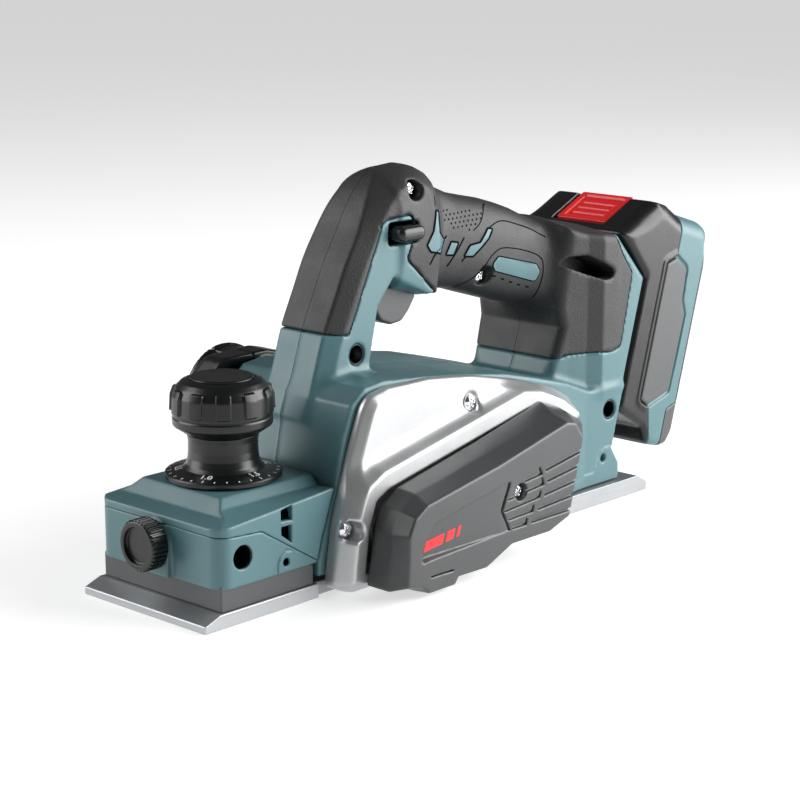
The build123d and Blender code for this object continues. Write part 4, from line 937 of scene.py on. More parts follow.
def cover_hull(grid):
    """Distance to the cover's outline at each depth, the three outlines joined by straight lines."""
    foot, middle, outer = COVER_DEPTHS
    hull = np.empty(grid.shape, np.float32)
    for index, y in enumerate(grid.y.ravel()):
        depth = float(np.clip(-y, foot, outer))
        if depth < middle:
            low, high, share = COVER_FOOT, COVER_MIDDLE, (depth - foot) / (middle - foot)
        else:
            low, high, share = COVER_MIDDLE, COVER_OUTER, (depth - middle) / (outer - middle)
        ring = [(a[0] + (b[0] - a[0]) * share, a[1] + (b[1] - a[1]) * share) for a, b in zip(low, high)]
        hull[:, index, :] = outline_distance(ring, grid.x[:, :, 0], grid.z[:, 0, :])
    return hull


def belt_cover_field(grid):
    """Shell between three outlines, hollow, with a sunk arrow panel and its slots."""
    foot, middle, outer = COVER_DEPTHS
    steep = np.where(-grid.y > middle, 0.84, 0.97)
    sides = cover_hull(grid) * steep
    solid = np.maximum(np.maximum(sides, -grid.y - outer), grid.y + foot)
    solid = np.maximum(softened(solid.astype(np.float32), 2), grid.y + foot)
    floor = outer - panel_sink(grid.x)
    hollow = np.maximum(sides + COVER_WALL, -grid.y - (floor - COVER_FACE_WALL))
    post = bar(grid, COVER_SCREW, 5.0, -76, -50)
    solid = np.maximum(solid, -np.maximum(hollow, -post))
    wall = outline_distance(PANEL, grid.x, grid.z)
    panel = np.maximum(wall + 0.5 * (outer + grid.y), floor + grid.y)
    solid = np.maximum(solid, -panel)
    for slot in COVER_SLOTS:
        solid = np.maximum(solid, -groove(grid, list(slot), 0.75, 1.9))
    for path in HOOKED_SLOTS + [CHEVRON]:
        solid = np.maximum(solid, -groove(grid, path, 0.6, 1.7))
    solid = np.maximum(solid, -groove(grid, FOOT_LINE, 0.35, 8, 5))
    solid = cut(solid, bar(grid, COVER_SCREW, 4.3, -90, -73.8), 0.4)
    return np.maximum(solid, -bar(grid, COVER_SCREW, 2.0, -90, -40))


def make_panel_stripes():
    """Three plain slanted red bars on the sunk panel of the cover."""
    slope, lean, height = 0.14, 1.6, 4.8
    parts = []
    for start, length in ((101.5, 12.0), (115.5, 5.0), (122.5, 2.0)):
        base = 21.2 + slope * (start - 101.5)
        ring = [(start, base), (start + length, base + slope * length),
                (start + length + lean, base + height + slope * length), (start + lean, base + height)]
        corners = [(x, -(COVER_DEPTHS[2] - panel_sink(x)) + lift, z) for lift in (-0.12, 0.6) for x, z in ring]
        sides = [(a, (a + 1) % 4, (a + 1) % 4 + 4, a + 4) for a in range(4)]
        parts.append((np.array(corners), np.array([(0, 3, 2, 1), (4, 5, 6, 7)] + sides)))
    points, quads = joined(parts)
    stripes = weld(new_piece("cover_stripes", points, quads, smooth=False))
    finish_piece(stripes, "red_plastic", "root")


def make_belt_side():
    grid = Grid((70, -57.5, 1), (247, -40, 93), 0.6 * COARSE)
    field_piece("belt_frame_casting", grid, belt_frame_field(grid), "silver_paint", "belt_frame")
    grid = Grid((82, -79.2, -0.4), (241, -55, 73), 0.5 * COARSE)
    field_piece("belt_cover_shell", grid, belt_cover_field(grid), "grey_plastic", "belt_cover")


make_belt_side()
make_panel_stripes()


# ---- Front pod ---------------------------------------------------------------------------
POD_SEAM = [(6, 40.9), (34.3, 39.0), (68.4, 18.0), (72, 15.8)]
POD_FRONT, POD_HALF, POD_CORNER = 9.3, 41.0, 7.5
POD_EDGE, POD_EDGE_SLOPE = 44.2, 0.081
SHOULDER, SHOULDER_TOP, ROOF_TOP = 30.5, 49.2, 53.6
FRONT_FOLD, FRONT_FOLD_TOP, FRONT_SLOPE = 17.3, 47.1, 0.36
POD_BACK = [(-20, 16.9), (68.2, 16.9), (71.5, 28), (79.9, 50.2), (79.9, 90), (-20, 90)]
POD_LUG = [(43.6, 15), (43.6, 21.5), (45, 25), (48.5, 27), (52.5, 26.4)]
POD_VENTS = [[(46.1, 41), (52.8, 40.4), (52.8, 47.2), (46.1, 46)],
             [(46.3, 34.6), (52.5, 30), (52.5, 38.2), (46.3, 38.2)]]
KNOB_STATION = 49.5
FENCE, FENCE_BORE, FENCE_SCREW = (22.9, 29.9), 5.4, (49.1, 21.6)
SLEEVE_START, SLEEVE_RADIUS = 14.0, 5.9
THUMB_HEIGHT = 32.0


def pod_block(grid):
    """Solid pod and its plan view: sloping shoulders, a folded front and a leaning back wall."""
    w = np.abs(grid.y)
    edge = POD_EDGE + POD_EDGE_SLOPE * (grid.x - POD_FRONT)
    side = np.where(w > SHOULDER, edge + (SHOULDER_TOP - edge) * (POD_HALF - w) / (POD_HALF - SHOULDER),
                    SHOULDER_TOP + (SHOULDER - w))
    front = np.where(grid.x < FRONT_FOLD, POD_EDGE + (grid.x - POD_FRONT) * FRONT_SLOPE,
                     FRONT_FOLD_TOP + (grid.x - FRONT_FOLD))
    roof = (grid.z - np.minimum(np.minimum(side, front), ROOF_TOP)) * 0.86
    plan_x, plan_y = np.abs(grid.x - 60) - (60 - POD_FRONT) + POD_CORNER, w - POD_HALF + POD_CORNER
    plan = (np.sqrt(np.maximum(plan_x, 0) ** 2 + np.maximum(plan_y, 0) ** 2)
            + np.minimum(np.maximum(plan_x, plan_y), 0) - POD_CORNER)
    back = outline_distance(POD_BACK, grid.x, grid.z)
    return softened(np.maximum(np.maximum(plan, roof), back).astype(np.float32), 1), plan


def pod_shell(grid):
    """Hollow pod with the clamp knob's boss, the fence rod's sleeve and the depth knob's well."""
    w = np.abs(grid.y)
    block, plan = pod_block(grid)
    inner = np.where(grid.z < 22.4, np.maximum(plan + 1.2, between(grid.x, 10.6, 67.3)), block + 3.0)
    shell = np.maximum(block, -inner)
    thumb = np.sqrt(grid.y ** 2 + (grid.z - THUMB_HEIGHT) ** 2)
    boss_radius = 9.6
    boss = np.minimum(thumb - boss_radius, np.maximum(w - boss_radius, grid.z - THUMB_HEIGHT))
    boss = meet(boss, np.maximum(between(grid.x, 6.6, 12), 17.2 - grid.z), 0.8)
    shell = join(shell, boss, 1.5)
    shell = np.minimum(shell, bar(grid, FENCE, 8.4, -40.5, 40.5))
    knob = np.sqrt((grid.x - KNOB_STATION) ** 2 + grid.y ** 2)
    shell = np.minimum(shell, np.maximum(knob - 12, between(grid.z, 41, 51)))
    shell = cut(shell, bar(grid, FENCE, FENCE_BORE, -60, 60), 0.5)
    sleeve_room = np.maximum(bar(grid, FENCE, SLEEVE_RADIUS + 0.05, -40.2, 40.2), SLEEVE_START - 0.1 - w)
    shell = cut(shell, sleeve_room, 0)
    shell = cut(shell, bar(grid, FENCE_SCREW, 1.9, -60, -36), 0.2)
    shell = np.maximum(shell, -(knob - 7.05))
    shell = np.maximum(shell, -np.maximum(thumb - 3.1, grid.x - 20))
    shell = np.maximum(shell, -np.maximum(path_distance(POD_LUG, grid.x, grid.z) - 0.4, 40.3 + grid.y))
    for vent in POD_VENTS:
        shell = cut(shell, np.maximum(outline_distance(vent, grid.x, grid.z), 36.5 - w), 0.3)
    return shell


def make_pod():
    """Upper and lower half of the pod, and the two black sleeves in the fence rod's bore."""
    grid = Grid((4, -42, 15.5), (83, 42, 55.2), 0.5 * COARSE)
    shell = pod_shell(grid)
    seam = outline_distance([(-20, 42.4)] + POD_SEAM + [(110, -8), (110, 120), (-20, 120)], grid.x, grid.z)
    field_piece("pod_top", grid, np.maximum(shell, seam + 0.1), "teal_plastic", "pod_upper")
    field_piece("pod_base", grid, np.maximum(shell, -seam + 0.12), "teal_plastic", "pod_lower")
    x, z = FENCE
    grid = Grid((x - 6.6, -41, z - 6.6), (x + 6.6, 41, z + 6.6), 0.4 * COARSE)
    sleeve = np.maximum(bar(grid, FENCE, SLEEVE_RADIUS, -40.1, 40.1), -bar(grid, FENCE, FENCE_BORE, -60, 60))
    field_piece("rod_sleeves", grid, np.maximum(sleeve, SLEEVE_START - np.abs(grid.y)), "black_plastic")


make_pod()


# ---- Turned pieces -----------------------------------------------------------------------
def turned(profile, segments, relief=None):
    """Points and quads of a closed turned shape about the z axis; relief gives a radius change by angle."""
    radius = np.array([p[0] for p in profile], float)[:, None]
    height = np.array([p[1] for p in profile], float)[:, None]
    angle = np.linspace(0, 2 * math.pi, segments, endpoint=False)[None, :]
    if relief is not None:
        radius = np.maximum(radius + relief(angle, radius, height) * (radius > 0.5), 0)
    ring = np.stack([radius * np.cos(angle), radius * np.sin(angle), height + 0 * angle], -1)
    count = len(profile)
    i, j = np.meshgrid(np.arange(count - 1), np.arange(segments), indexing="ij")
    nxt = (j + 1) % segments
    quads = np.stack([i * segments + j, i * segments + nxt, (i + 1) * segments + nxt, (i + 1) * segments + j], -1)
    return ring.reshape(-1, 3), quads.reshape(-1, 4)


def fine_profile(points, radius, spacing):
    """Profile with rounded corners, cut into short steps so that relief has points to work on."""
    smooth = rounded(points, radius, 6)
    made = [smooth[0]]
    for a, b in zip(smooth[:-1], smooth[1:]):
        steps = max(1, int(math.dist(a, b) / spacing))
        for step in range(1, steps + 1):
            made.append((a[0] + (b[0] - a[0]) * step / steps, a[1] + (b[1] - a[1]) * step / steps))
    return made


KNOB_PADS = 11
PAD_HALF, PAD_LOW, PAD_HIGH = 3.3, 84.6, 95.8


def knob_pads(angle, radius, height):
    """Eleven raised pads round the knob's rim, and the parting groove below them."""
    pitch = 2 * math.pi / KNOB_PADS
    off = np.abs((angle + pitch / 2) % pitch - pitch / 2) * radius
    across = np.maximum(off - PAD_HALF + 1.0, 0)
    middle, half = (PAD_LOW + PAD_HIGH) / 2, (PAD_HIGH - PAD_LOW) / 2
    along = np.maximum(np.abs(height - middle) - half + 1.0, 0)
    pad = 1 - smooth_step(np.sqrt(across ** 2 + along ** 2), 0.7, 1.1)
    waist = 1 - smooth_step(np.abs(height - 82.6), 0.15, 0.5)
    return np.where(radius > 19, 1.25 * pad - 0.5 * waist, 0)


def knob_part(name, profile, segments, node, relief=None):
    """One black turned part on the depth knob's axis."""
    points, quads = turned(profile, segments, relief)
    piece = weld(new_piece(name, points + np.array([KNOB_STATION, 0, 0]), quads))
    finish_piece(piece, "black_plastic", "depth_knob", replaces=[node])


def make_depth_knob():
    bowl = [(0, 74.2), (16.2, 74.2), (17.4, 74.9), (22.8, 78.6), (22.8, 84), (22.3, 92.5), (21.0, 96.0),
            (18.6, 98.4), (15.4, 99.6), (15.2, 99.2), (0, 99.2)]
    cap = fine_profile(bowl, [0, 0.6, 1.0, 1.6, 4, 4, 3, 3, 0.3, 0.1, 0], 0.3)
    knob_part("knob_cap_ribbed", cap, KNOB_PADS * 70, "knob_cap", knob_pads)
    neck = [(4.1, 53.95), (26.0, 53.95), (26.7, 54.5), (26.7, 56.3), (26.1, 56.9), (18.6, 58.4), (17.0, 60.3),
            (16.2, 63.4), (15.9, 67), (15.9, 71.4), (16.4, 74.1), (4.1, 74.1), (4.1, 53.95)]
    dial = fine_profile(neck, [0, 0, 0.4, 0.4, 0.5, 1.6, 3.0, 4, 4, 3, 0.2, 0, 0], 0.5)
    knob_part("knob_dial_disc", dial, 256, "knob_dial")
    lid = [(0, 99.25), (14.6, 99.25), (14.6, 100.0), (14.1, 100.4), (0, 100.5)]
    knob_part("knob_lid", fine_profile(lid, [0, 0.1, 0.3, 0.3, 0], 0.6), 192, "knob_disc")


DIAL_ZERO, DIAL_STEP = math.radians(77.0), math.radians(12.84)
DIAL_TOP = 56.9
DIAL_RIM, DIAL_SLOPE = 26.1, 0.2
DIAL_NUMBERS = {0: "0", 5: "0.5", 10: "1.0", 15: "1.5", 20: "2.0"}
NUMBER_RADIUS, NUMBER_SIZE = 20.5, 4.8


def dial_place(tenths):
    """Angle on the dial of a cutting depth in tenths of a millimetre."""
    return DIAL_ZERO + tenths * DIAL_STEP


def digit_mesh(text, size):
    """Flat outline of a dial number as points and triangles, centred, in millimetres."""
    curve = bpy.data.curves.new("digits", "FONT")
    curve.body = text
    curve.size = size
    curve.align_x, curve.align_y = "CENTER", "CENTER"
    holder = bpy.data.objects.new("digits", curve)
    bpy.context.scene.collection.objects.link(holder)
    bpy.context.view_layer.update()
    mesh = bpy.data.meshes.new_from_object(holder.evaluated_get(bpy.context.evaluated_depsgraph_get()))
    mesh.calc_loop_triangles()
    points = np.array([v.co for v in mesh.vertices], float)
    faces = np.array([t.vertices for t in mesh.loop_triangles], int)
    bpy.data.objects.remove(holder)
    bpy.data.meshes.remove(mesh)
    bpy.data.curves.remove(curve)
    return points, faces


def thick_flat(points, faces, low, high):
    """Flat triangles in x and y made into a closed plate between two heights."""
    count = len(points)
    below, above = points.copy(), points.copy()
    below[:, 2], above[:, 2] = low, high
    rim = rim_edges(faces)
    sides = [(a, b, b + count) for a, b in rim] + [(a, b + count, a + count) for a, b in rim]
    return np.concatenate([below, above]), np.concatenate([faces[:, ::-1], faces + count, np.array(sides)])


def polar_box(angle, r_low, r_high, half, z_low, z_high):
    """Thin bar that lies along a radius of the dial."""
    out = np.array([math.cos(angle), math.sin(angle), 0])
    across = np.array([-out[1], out[0], 0])
    flat = [out * r_low - across * half, out * r_high - across * half,
            out * r_high + across * half, out * r_low + across * half]
    return thick_flat(np.array(flat), np.array([(0, 1, 2), (0, 2, 3)]), z_low, z_high)


def make_dial_marks():
    """Painted scale: a tick for each tenth, a long one with a number for each half millimetre."""
    parts = []
    for tenths in range(21):
        inner = 23.6 if tenths in DIAL_NUMBERS else 24.2
        parts.append(polar_box(dial_place(tenths), inner, 25.5, 0.22, DIAL_TOP - 0.5, DIAL_TOP + 0.12))
    for tenths, text in DIAL_NUMBERS.items():
        angle = dial_place(tenths)
        points, faces = digit_mesh(text, NUMBER_SIZE)
        turn = angle + math.pi / 2
        spun = np.stack([points[:, 0] * math.cos(turn) - points[:, 1] * math.sin(turn),
                         points[:, 0] * math.sin(turn) + points[:, 1] * math.cos(turn), 0 * points[:, 0]], -1)
        spun += np.array([math.cos(angle), math.sin(angle), 0]) * NUMBER_RADIUS
        parts.append(thick_flat(spun, faces, DIAL_TOP - 0.5, DIAL_TOP + 0.2))
    points, faces = joined(parts)
    points[:, 2] += (DIAL_RIM - np.hypot(points[:, 0], points[:, 1])) * DIAL_SLOPE
    marks = new_piece("dial_marks", points + np.array([KNOB_STATION, 0, 0]), faces, smooth=False)
    finish_piece(marks, "dial_paint", "depth_knob")


def make_thumb_knob():
    """Clamp knob that lies along x: straight knurling, a sunk face and a stub behind."""
    teeth = 34
    profile = [(0, -1.0), (8.4, -1.0), (8.7, -2.9), (10.8, -2.9), (11.9, -1.9), (11.9, 5.4), (10.6, 6.5), (0, 6.6)]
    shape = fine_profile(profile, [0, 0.5, 0.4, 0.9, 0.6, 0.7, 0.4, 0], 0.45)

    def knurl(angle, radius, height):
        wave = smooth_step(np.cos(angle * teeth), -0.35, 0.35)
        rim = smooth_step(radius, 10.6, 11.3)
        return -0.85 * (1 - wave) * rim * smooth_step(height, -2.6, -1.6)

    points, quads = turned(shape, teeth * 16, knurl)
    laid = np.stack([points[:, 2], points[:, 0], points[:, 1] + THUMB_HEIGHT], -1)
    knob = weld(new_piece("thumb_knob_knurled", laid, quads))
    finish_piece(knob, "black_plastic", "thumb_screw", replaces=["thumb_knob"])


make_depth_knob()
make_dial_marks()
make_thumb_knob()


# ---- Screws ------------------------------------------------------------------------------
HEAD_DOME, HEAD_DEPTH = 5.2, 2.4
CROSS_TURN, CROSS_HALF, CROSS_ARM, CROSS_DEPTH = math.radians(28), 0.55, 2.1, 1.5
SHANK = 1.7


def screw_field(grid, centre, face, radius, reach):
    """Button head with a cross recess, its shank running inwards; face is the y of the head's top."""
    x, z = grid.x - centre[0], grid.z - centre[1]
    spread = np.sqrt(x ** 2 + z ** 2)
    dome = np.sqrt(spread ** 2 + (grid.y - (face + HEAD_DOME)) ** 2) - HEAD_DOME
    head = np.maximum(np.maximum(dome, spread - radius), grid.y - (face + HEAD_DEPTH))
    u = np.abs(x * math.cos(CROSS_TURN) + z * math.sin(CROSS_TURN))
    v = np.abs(z * math.cos(CROSS_TURN) - x * math.sin(CROSS_TURN))
    cross = np.minimum(np.maximum(u - CROSS_HALF, v - CROSS_ARM), np.maximum(v - CROSS_HALF, u - CROSS_ARM))
    head = cut(head, np.maximum(cross, grid.y - (face + CROSS_DEPTH)), 0.25)
    return np.minimum(head, np.maximum(spread - SHANK, between(grid.y, face + CROSS_DEPTH, reach)))


def make_screws(name, places, material, node):
    """places holds (centre, y of the head's top, head radius, y where the shank ends)."""
    parts = []
    for centre, face, radius, reach in places:
        grid = Grid((centre[0] - radius - 0.6, face - 0.6, centre[1] - radius - 0.6),
                    (centre[0] + radius + 0.6, reach + 0.6, centre[1] + radius + 0.6), 0.22 * COARSE)
        parts.append(surface(grid, screw_field(grid, centre, face, radius, reach)))
    points, faces = joined(parts)
    finish_piece(new_piece(name, points, faces), material, "root", replaces=[node])


make_screws("frame_screw_pair", [(centre, -50.0, 3.8, -39) for centre in FRAME_SCREWS], "chrome", "frame_screws")
make_screws("cover_screw_dark", [(COVER_SCREW, -76.4, 3.7, -60)], "steel", "cover_screw")
make_screws("housing_screw_set",
            [(centre, -POCKET_FLOOR - rise, 3.5, -1)
             for centre, rise in zip(SCREW_POCKETS, (2.6, 5.4, 2.6, 2.6))], "chrome", "housing_screws")


# ---- Switch gear and chip outlet ---------------------------------------------------------
TRIGGER = rounded([(139.0, 120), (144.3, 112.6), (151.7, 109.6), (159.2, 110.4), (164.2, 115.0), (168.6, 121.0),
                   (168.6, 130), (166, 138), (150, 140.5), (141.4, 139)], [4, 4, 5, 4, 8, 2, 2, 2, 2, 2])


def make_trigger():
    """Hooked lever, open at the top for the switch body and bored for its pin."""
    grid = Grid((138, -9.4, 108.5), (171, 9.4, 142), 0.45 * COARSE)
    lever = slab(grid, TRIGGER, -8.6, 8.6, 1.5)
    lever = np.maximum(lever, -slab(grid, rectangle(151, 172, 133, 145), -6.6, 6.6))
    lever = np.maximum(lever, -bar(grid, (144, 136), 1.55, -12, 12))
    field_piece("trigger_lever", grid, lever, "grey_plastic", "trigger", "trigger")


def make_lock_button():
    """Round-ended pad on the left and the stepped bolt behind it."""
    grid = Grid((138, -28.6, 148), (158, 21.5, 164), 0.4 * COARSE)
    x, z = LOCK_CENTRE
    pad = slab(grid, rounded(rectangle(x - 8.6, x + 8.6, z - 3.7, z + 3.7), 3.6), -27.4, -17.5, 3.0)
    bolt = np.minimum(bar(grid, LOCK_CENTRE, 2.8, -18, 16), bar(grid, LOCK_CENTRE, 5.0, 15, 20.5, 0.8))
    field_piece("lock_bolt", grid, np.minimum(pad, bolt), "black_plastic", "lock_button", "lock_button")


def make_chip_outlet():
    """Black hood over the drum with a round spout, an outer lip and a seam on top."""
    grid = Grid((78, 40.5, 40), (154, 77, 97), 0.8 * COARSE)
    collar = rounded([(80.5, 52), (79.8, 84), (91, 94.6), (119, 95.2), (139, 90), (152, 80), (152, 50), (142, 42),
                      (90, 42)], [5, 9, 9, 10, 9, 8, 5, 6, 6])
    hood = np.maximum(slab(grid, collar, 41.2, 61, 5.0), 44.4 - grid.y)
    spout = join(hood, bar(grid, NOZZLE, 25.0, 56, 76, 0.8), 4)
    lip = bar(grid, NOZZLE, 26.2, 72.4, 75.2, 0.6)
    spout = np.minimum(np.minimum(spout, lip), bar(grid, NOZZLE, 23.3, 41.4, 60))
    spout = cut(spout, bar(grid, NOZZLE, 22.5, 30, 90), 0.6)
    seam = np.maximum(np.abs(grid.x - 110) - 0.35, -(hood + 0.7))
    spout = np.maximum(spout, -np.maximum(seam, 62 - grid.z))
    field_piece("chip_spout", grid, spout, "black_plastic", "chip_nozzle")


make_trigger()
make_lock_button()
make_chip_outlet()


# ---- Battery -----------------------------------------------------------------------------
BATTERY_HALF = 37.5
BATTERY = rounded([(-23, 16), (-23, 88.3), (-49, 105.8), (-48.4, 107.2), (-45.5, 109.4), (-22.4, 129.6),
                   (-14, 129.4), (0, 125.4), (21.5, 125.2), (27, 123.4), (29.8, 118.7), (29.6, 11.4), (25, 3),
                   (20, 1.2), (7.5, 0.8), (0, 9.5), (-6, 11)],
                  [2, 2, 2, 1, 3, 8, 6, 8, 5, 3, 3, 3, 3, 3, 6, 4, 2])
SIDE_PANEL = rounded([(-7.7, 97.6), (0.1, 102.3), (10.6, 98), (12.2, 80.6), (16.8, 73.5), (16.0, 31.9),
                      (-0.7, 21.9), (-7.4, 24)], 2)
PANEL_FLOOR = 36.4
CORNER_X, CORNER_Y, CORNER_RADIUS = 25.3, 33.0, 4.5
BAY = rectangle(-11, 26.3, 14, 111)
BUTTON_TRAY = [(-39.4, 103.0), (-45.2, 114.5), (-22.3, 134.4), (-14.3, 125.6)]
RAIL_HIGH = 84.4
SHELL_GAP = 0.15


def tilted(points):
    """Grid points in the battery's tilted view to station space."""
    x, z = from_pack(points[:, 0], points[:, 2])
    return np.stack([x, points[:, 1], z], -1)


def battery_piece(name, points, quads, material, node):
    finish_piece(new_piece(name, tilted(points), quads), material, "battery", replaces=[node])


def battery_solid(grid, w):
    """Outer shape of the pack: its side outline with rounded back corners in plan."""
    corner = np.sqrt(np.maximum(grid.x - CORNER_X, 0) ** 2 + np.maximum(w - CORNER_Y, 0) ** 2) - CORNER_RADIUS
    plan = np.maximum(w - BATTERY_HALF, np.where((grid.x > CORNER_X) & (w > CORNER_Y), corner, -50))
    edge = 3.5 + 6.5 * smooth_step(grid.z, 100, 116)
    return softened(meet(outline_distance(BATTERY, grid.x, grid.z), plan, edge).astype(np.float32), 1)


def battery_rails(grid, w):
    """Channel for the tool's rails, wider at its floor, and three contact slots."""
    channel = np.maximum(between(grid.x, -60, -17.0), w - 22)
    channel = np.minimum(channel, np.maximum(between(grid.x, -20.8, -17.0), w - 25.4))
    room = np.maximum(channel, grid.z - RAIL_HIGH)
    for y in (-12, 0, 12):
        slot = np.maximum(between(grid.x, -18, -11.7), np.abs(grid.y - y) - 0.9)
        room = np.minimum(room, np.maximum(slot, grid.z - 75))
    return room


def make_battery():
    """Front case, teal band and rear cap, split across one solid, and the two side panels."""
    grid = Grid((-50.5, -39, -0.5), (31, 39, 127), 0.8 * COARSE)
    w = np.abs(grid.y)
    solid = battery_solid(grid, w)
    panel = outline_distance(SIDE_PANEL, grid.x, grid.z)
    bay = np.maximum(outline_distance(BAY, grid.x, grid.z), w - 34.0)
    tray = np.maximum(outline_distance(BUTTON_TRAY, grid.x, grid.z), w - 17.5)
    split = np.maximum(0.36 * (24 - grid.z), 0)
    case = np.maximum(solid, grid.x - split)
    case = np.maximum(case, -np.minimum(np.minimum(bay, battery_rails(grid, w)), tray))
    rib = np.maximum(np.maximum(np.abs(panel - 2.2) - 1.1, between(w, 36, 38.3)), grid.x - 1.5)
    case = join(case, np.maximum(rib, grid.x - split), 0.6)
    case = cut(case, np.maximum(panel - 0.7, PANEL_FLOOR - w), 0.4)
    battery_piece("battery_front_case", *surface(grid, case), "black_plastic", "battery_case")
    cap_edge = 25.4 - 7.6 * smooth_step(-grid.z, -27, -21)
    shell = np.maximum(solid, np.maximum(split + SHELL_GAP - grid.x, grid.x - cap_edge))
    shell = cut(np.maximum(shell, -bay), np.maximum(panel - 2.0, PANEL_FLOOR - w), 0.8)
    battery_piece("battery_mid_shell", *surface(grid, shell), "teal_plastic", "battery_shell")
    cap = np.maximum(np.maximum(solid, cap_edge + SHELL_GAP - grid.x), -bay)
    battery_piece("battery_rear_cap", *surface(grid, cap), "grey_plastic", "battery_cap")
    grid = Grid((-9, 30, 20), (21, 39, 104), 0.6 * COARSE)
    plate = meet(outline_distance(SIDE_PANEL, grid.x, grid.z), between(grid.y, 34.7, 38.3), 0.9)
    battery_piece("battery_side_panels", *with_mirror(*surface(grid, plate)), "panel_plastic", "battery_panels")


def make_release_button():
    """Red tray-shaped button with three finger ridges, in the plane of the battery's sloping top."""
    start, end = (-40.0, 112.0), (-20.2, 129.2)
    run = math.dist(start, end)
    along = ((end[0] - start[0]) / run, (end[1] - start[1]) / run)
    grid = Grid((-0.6, -17.6, -4.4), (run + 0.6, 17.6, 1.4), 0.3 * COARSE)
    w = np.abs(grid.y)
    rim = meet(between(grid.x, 0.1, run - 0.1), w - 16.9, 1.2)
    inner = meet(between(grid.x, 2.6, run - 2.2), w - 14.2, 1.5)
    top = 0.35 - 1.15 * smooth_step(-inner, 0.0, 1.3)
    for ridge in (7.5, 12.5, 17.5):
        across = np.maximum(np.abs(grid.x - ridge) - 0.5, w - 10.5)
        top = top + 0.8 * (1 - smooth_step(across, -0.3, 0.7))
    field = meet(rim, np.maximum(grid.z - top, -4.0 - grid.z), 0.4)
    points, quads = surface(grid, field)
    s = start[0] + points[:, 0] * along[0] - points[:, 2] * along[1]
    t = start[1] + points[:, 0] * along[1] + points[:, 2] * along[0]
    laid = tilted(np.stack([s, points[:, 1], t], -1))
    button = weld(new_piece("release_button_tray", laid, quads))
    finish_piece(button, "red_plastic", "release_button", replaces=["release_button"])


make_battery()
make_release_button()


# ---- CAD nodes carried over --------------------------------------------------------------
CARRIED = {
    "sole_aluminium": ["front_shoe", "rear_shoe"],
    "grey_plastic": ["front_skirt"],
    "steel": ["guide_posts", "shoe_screws", "adjust_screw", "clamp_screw", "drum_shaft", "drum_bearings",
              "motor_shaft", "motor_bearings", "trigger_pin", "trigger_spring", "lock_spring", "rotor_core",
              "motor_stator", "blade_screws", "clamp_pad", "drum_pulley", "motor_pulley"],
    "black_plastic": ["chip_duct", "switch_body", "battery_rails", "motor_fan"],
    "blade_steel": ["cutter_blades"],
    "cast_aluminium": ["cutter_drum", "blade_clamps", "drum_side_plate", "drum_hood", "motor_bracket"],
    "belt_rubber": ["drive_belt"],
    "copper": ["stator_windings"],
    "contact_brass": ["tool_contacts"],
    "board": ["control_board"],
    "cell_wrap": ["battery_cells"],
}
SMOOTHED = {"front_shoe": 0.7, "rear_shoe": 0.7, "front_skirt": 0.8}


def finish_cad():
    """Every carried-over CAD node gets its material; those that show get rounded edges too."""
    for material, names in CARRIED.items():
        for name in names:
            node = NODES[name]
            node.data.materials.clear()
            node.data.materials.append(MATERIALS[material])
            if name in SMOOTHED:
                round_edges(node, SMOOTHED[name])


def round_edges(node, width):
    """Flat faces put back together, then a bevel along the sharp edges."""
    weld_step = node.modifiers.new("weld", "WELD")
    weld_step.merge_threshold = 0.00002
    planes = node.modifiers.new("planes", "DECIMATE")
    planes.decimate_type = "DISSOLVE"
    planes.angle_limit = math.radians(2)
    bevel = node.modifiers.new("edges", "BEVEL")
    bevel.width = width * MM
    bevel.segments = 3
    bevel.limit_method = "ANGLE"
    bevel.angle_limit = math.radians(28)
    normals = node.modifiers.new("normals", "WEIGHTED_NORMAL")
    normals.keep_sharp = True


finish_cad()


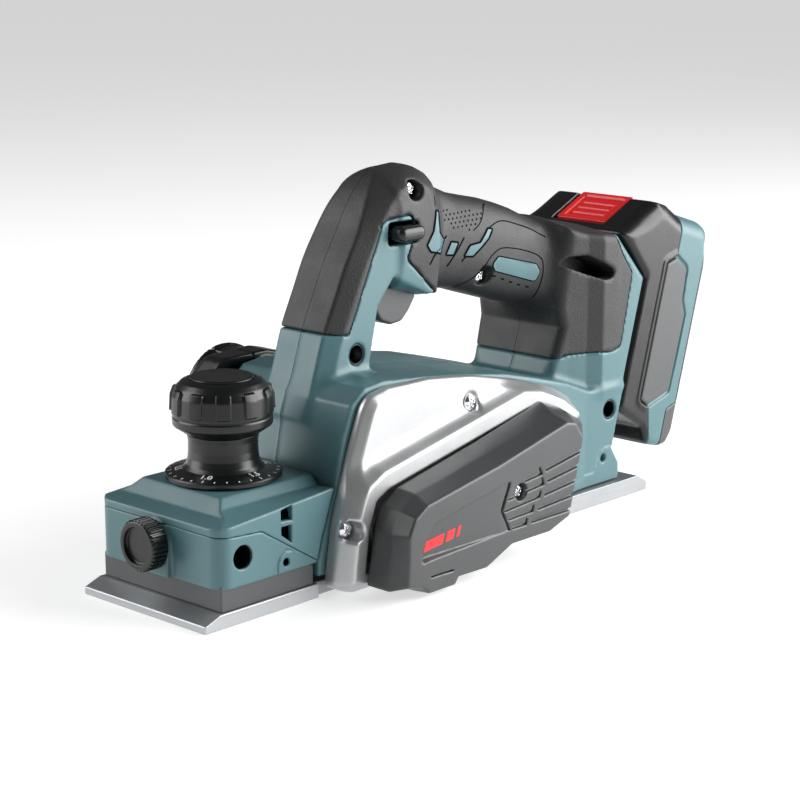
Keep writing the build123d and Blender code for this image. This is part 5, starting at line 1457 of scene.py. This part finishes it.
# ---- Floor, light and camera -------------------------------------------------------------
def floor():
    mesh = bpy.data.meshes.new("floor")
    reach, height = 60.0, -0.0002
    mesh.from_pydata([(x, y, height) for x, y in rectangle(-reach, reach, -reach, reach)], [], [(0, 1, 2, 3)])
    plane = bpy.data.objects.new("floor", mesh)
    bpy.context.scene.collection.objects.link(plane)
    n = Nodes("floor")
    n.wire(n.mixed(n.noise(3, 2), linear(206, 206, 206), linear(214, 214, 214)), "Base Color")
    n.put(Roughness=0.9, Emission_Color=(1, 1, 1, 1), Emission_Strength=0.58)
    mesh.materials.append(n.material)
    return plane


def soft_light(name, place_at, aim, size, power):
    data = bpy.data.lights.new(name, "AREA")
    data.shape, data.size, data.size_y = "RECTANGLE", size[0], size[1]
    data.energy = power
    lamp = bpy.data.objects.new(name, data)
    bpy.context.scene.collection.objects.link(lamp)
    lamp.location = place_at
    lamp.rotation_euler = (Vector(aim) - Vector(place_at)).to_track_quat("-Z", "Y").to_euler()
    return lamp


def studio():
    """Pale floor and a soft box low on each side of the camera's line of sight."""
    centre = Vector((-0.02, 0.0, 0.09))
    right = soft_light("softbox_right", centre + Vector((1.0, -1.0, 0.42)), centre, (1.6, 1.6), 58)
    left = soft_light("softbox_left", centre + Vector((-1.0, 1.0, 0.5)), centre, (1.0, 1.7), 22)
    world = bpy.data.worlds.new("studio")
    bpy.context.scene.world = world
    world.use_nodes = True
    background = world.node_tree.nodes["Background"]
    background.inputs["Color"].default_value = (1, 1, 1, 1)
    background.inputs["Strength"].default_value = 0.1
    floor()


def camera():
    """Long lens ahead of the nose, on the cover's side and a little above."""
    data = bpy.data.cameras.new("camera")
    data.lens, data.sensor_width = 93.67, 36.0
    data.clip_end = 100
    eye = bpy.data.objects.new("camera", data)
    bpy.context.scene.collection.objects.link(eye)
    eye.location = (-0.7796, -0.6798, 0.3050)
    aim = Vector((-0.0502, 0.0, 0.0686))
    eye.rotation_euler = (aim - eye.location).to_track_quat("-Z", "Y").to_euler()
    bpy.context.scene.camera = eye


studio()
camera()
bpy.context.scene.view_settings.view_transform = "Standard"
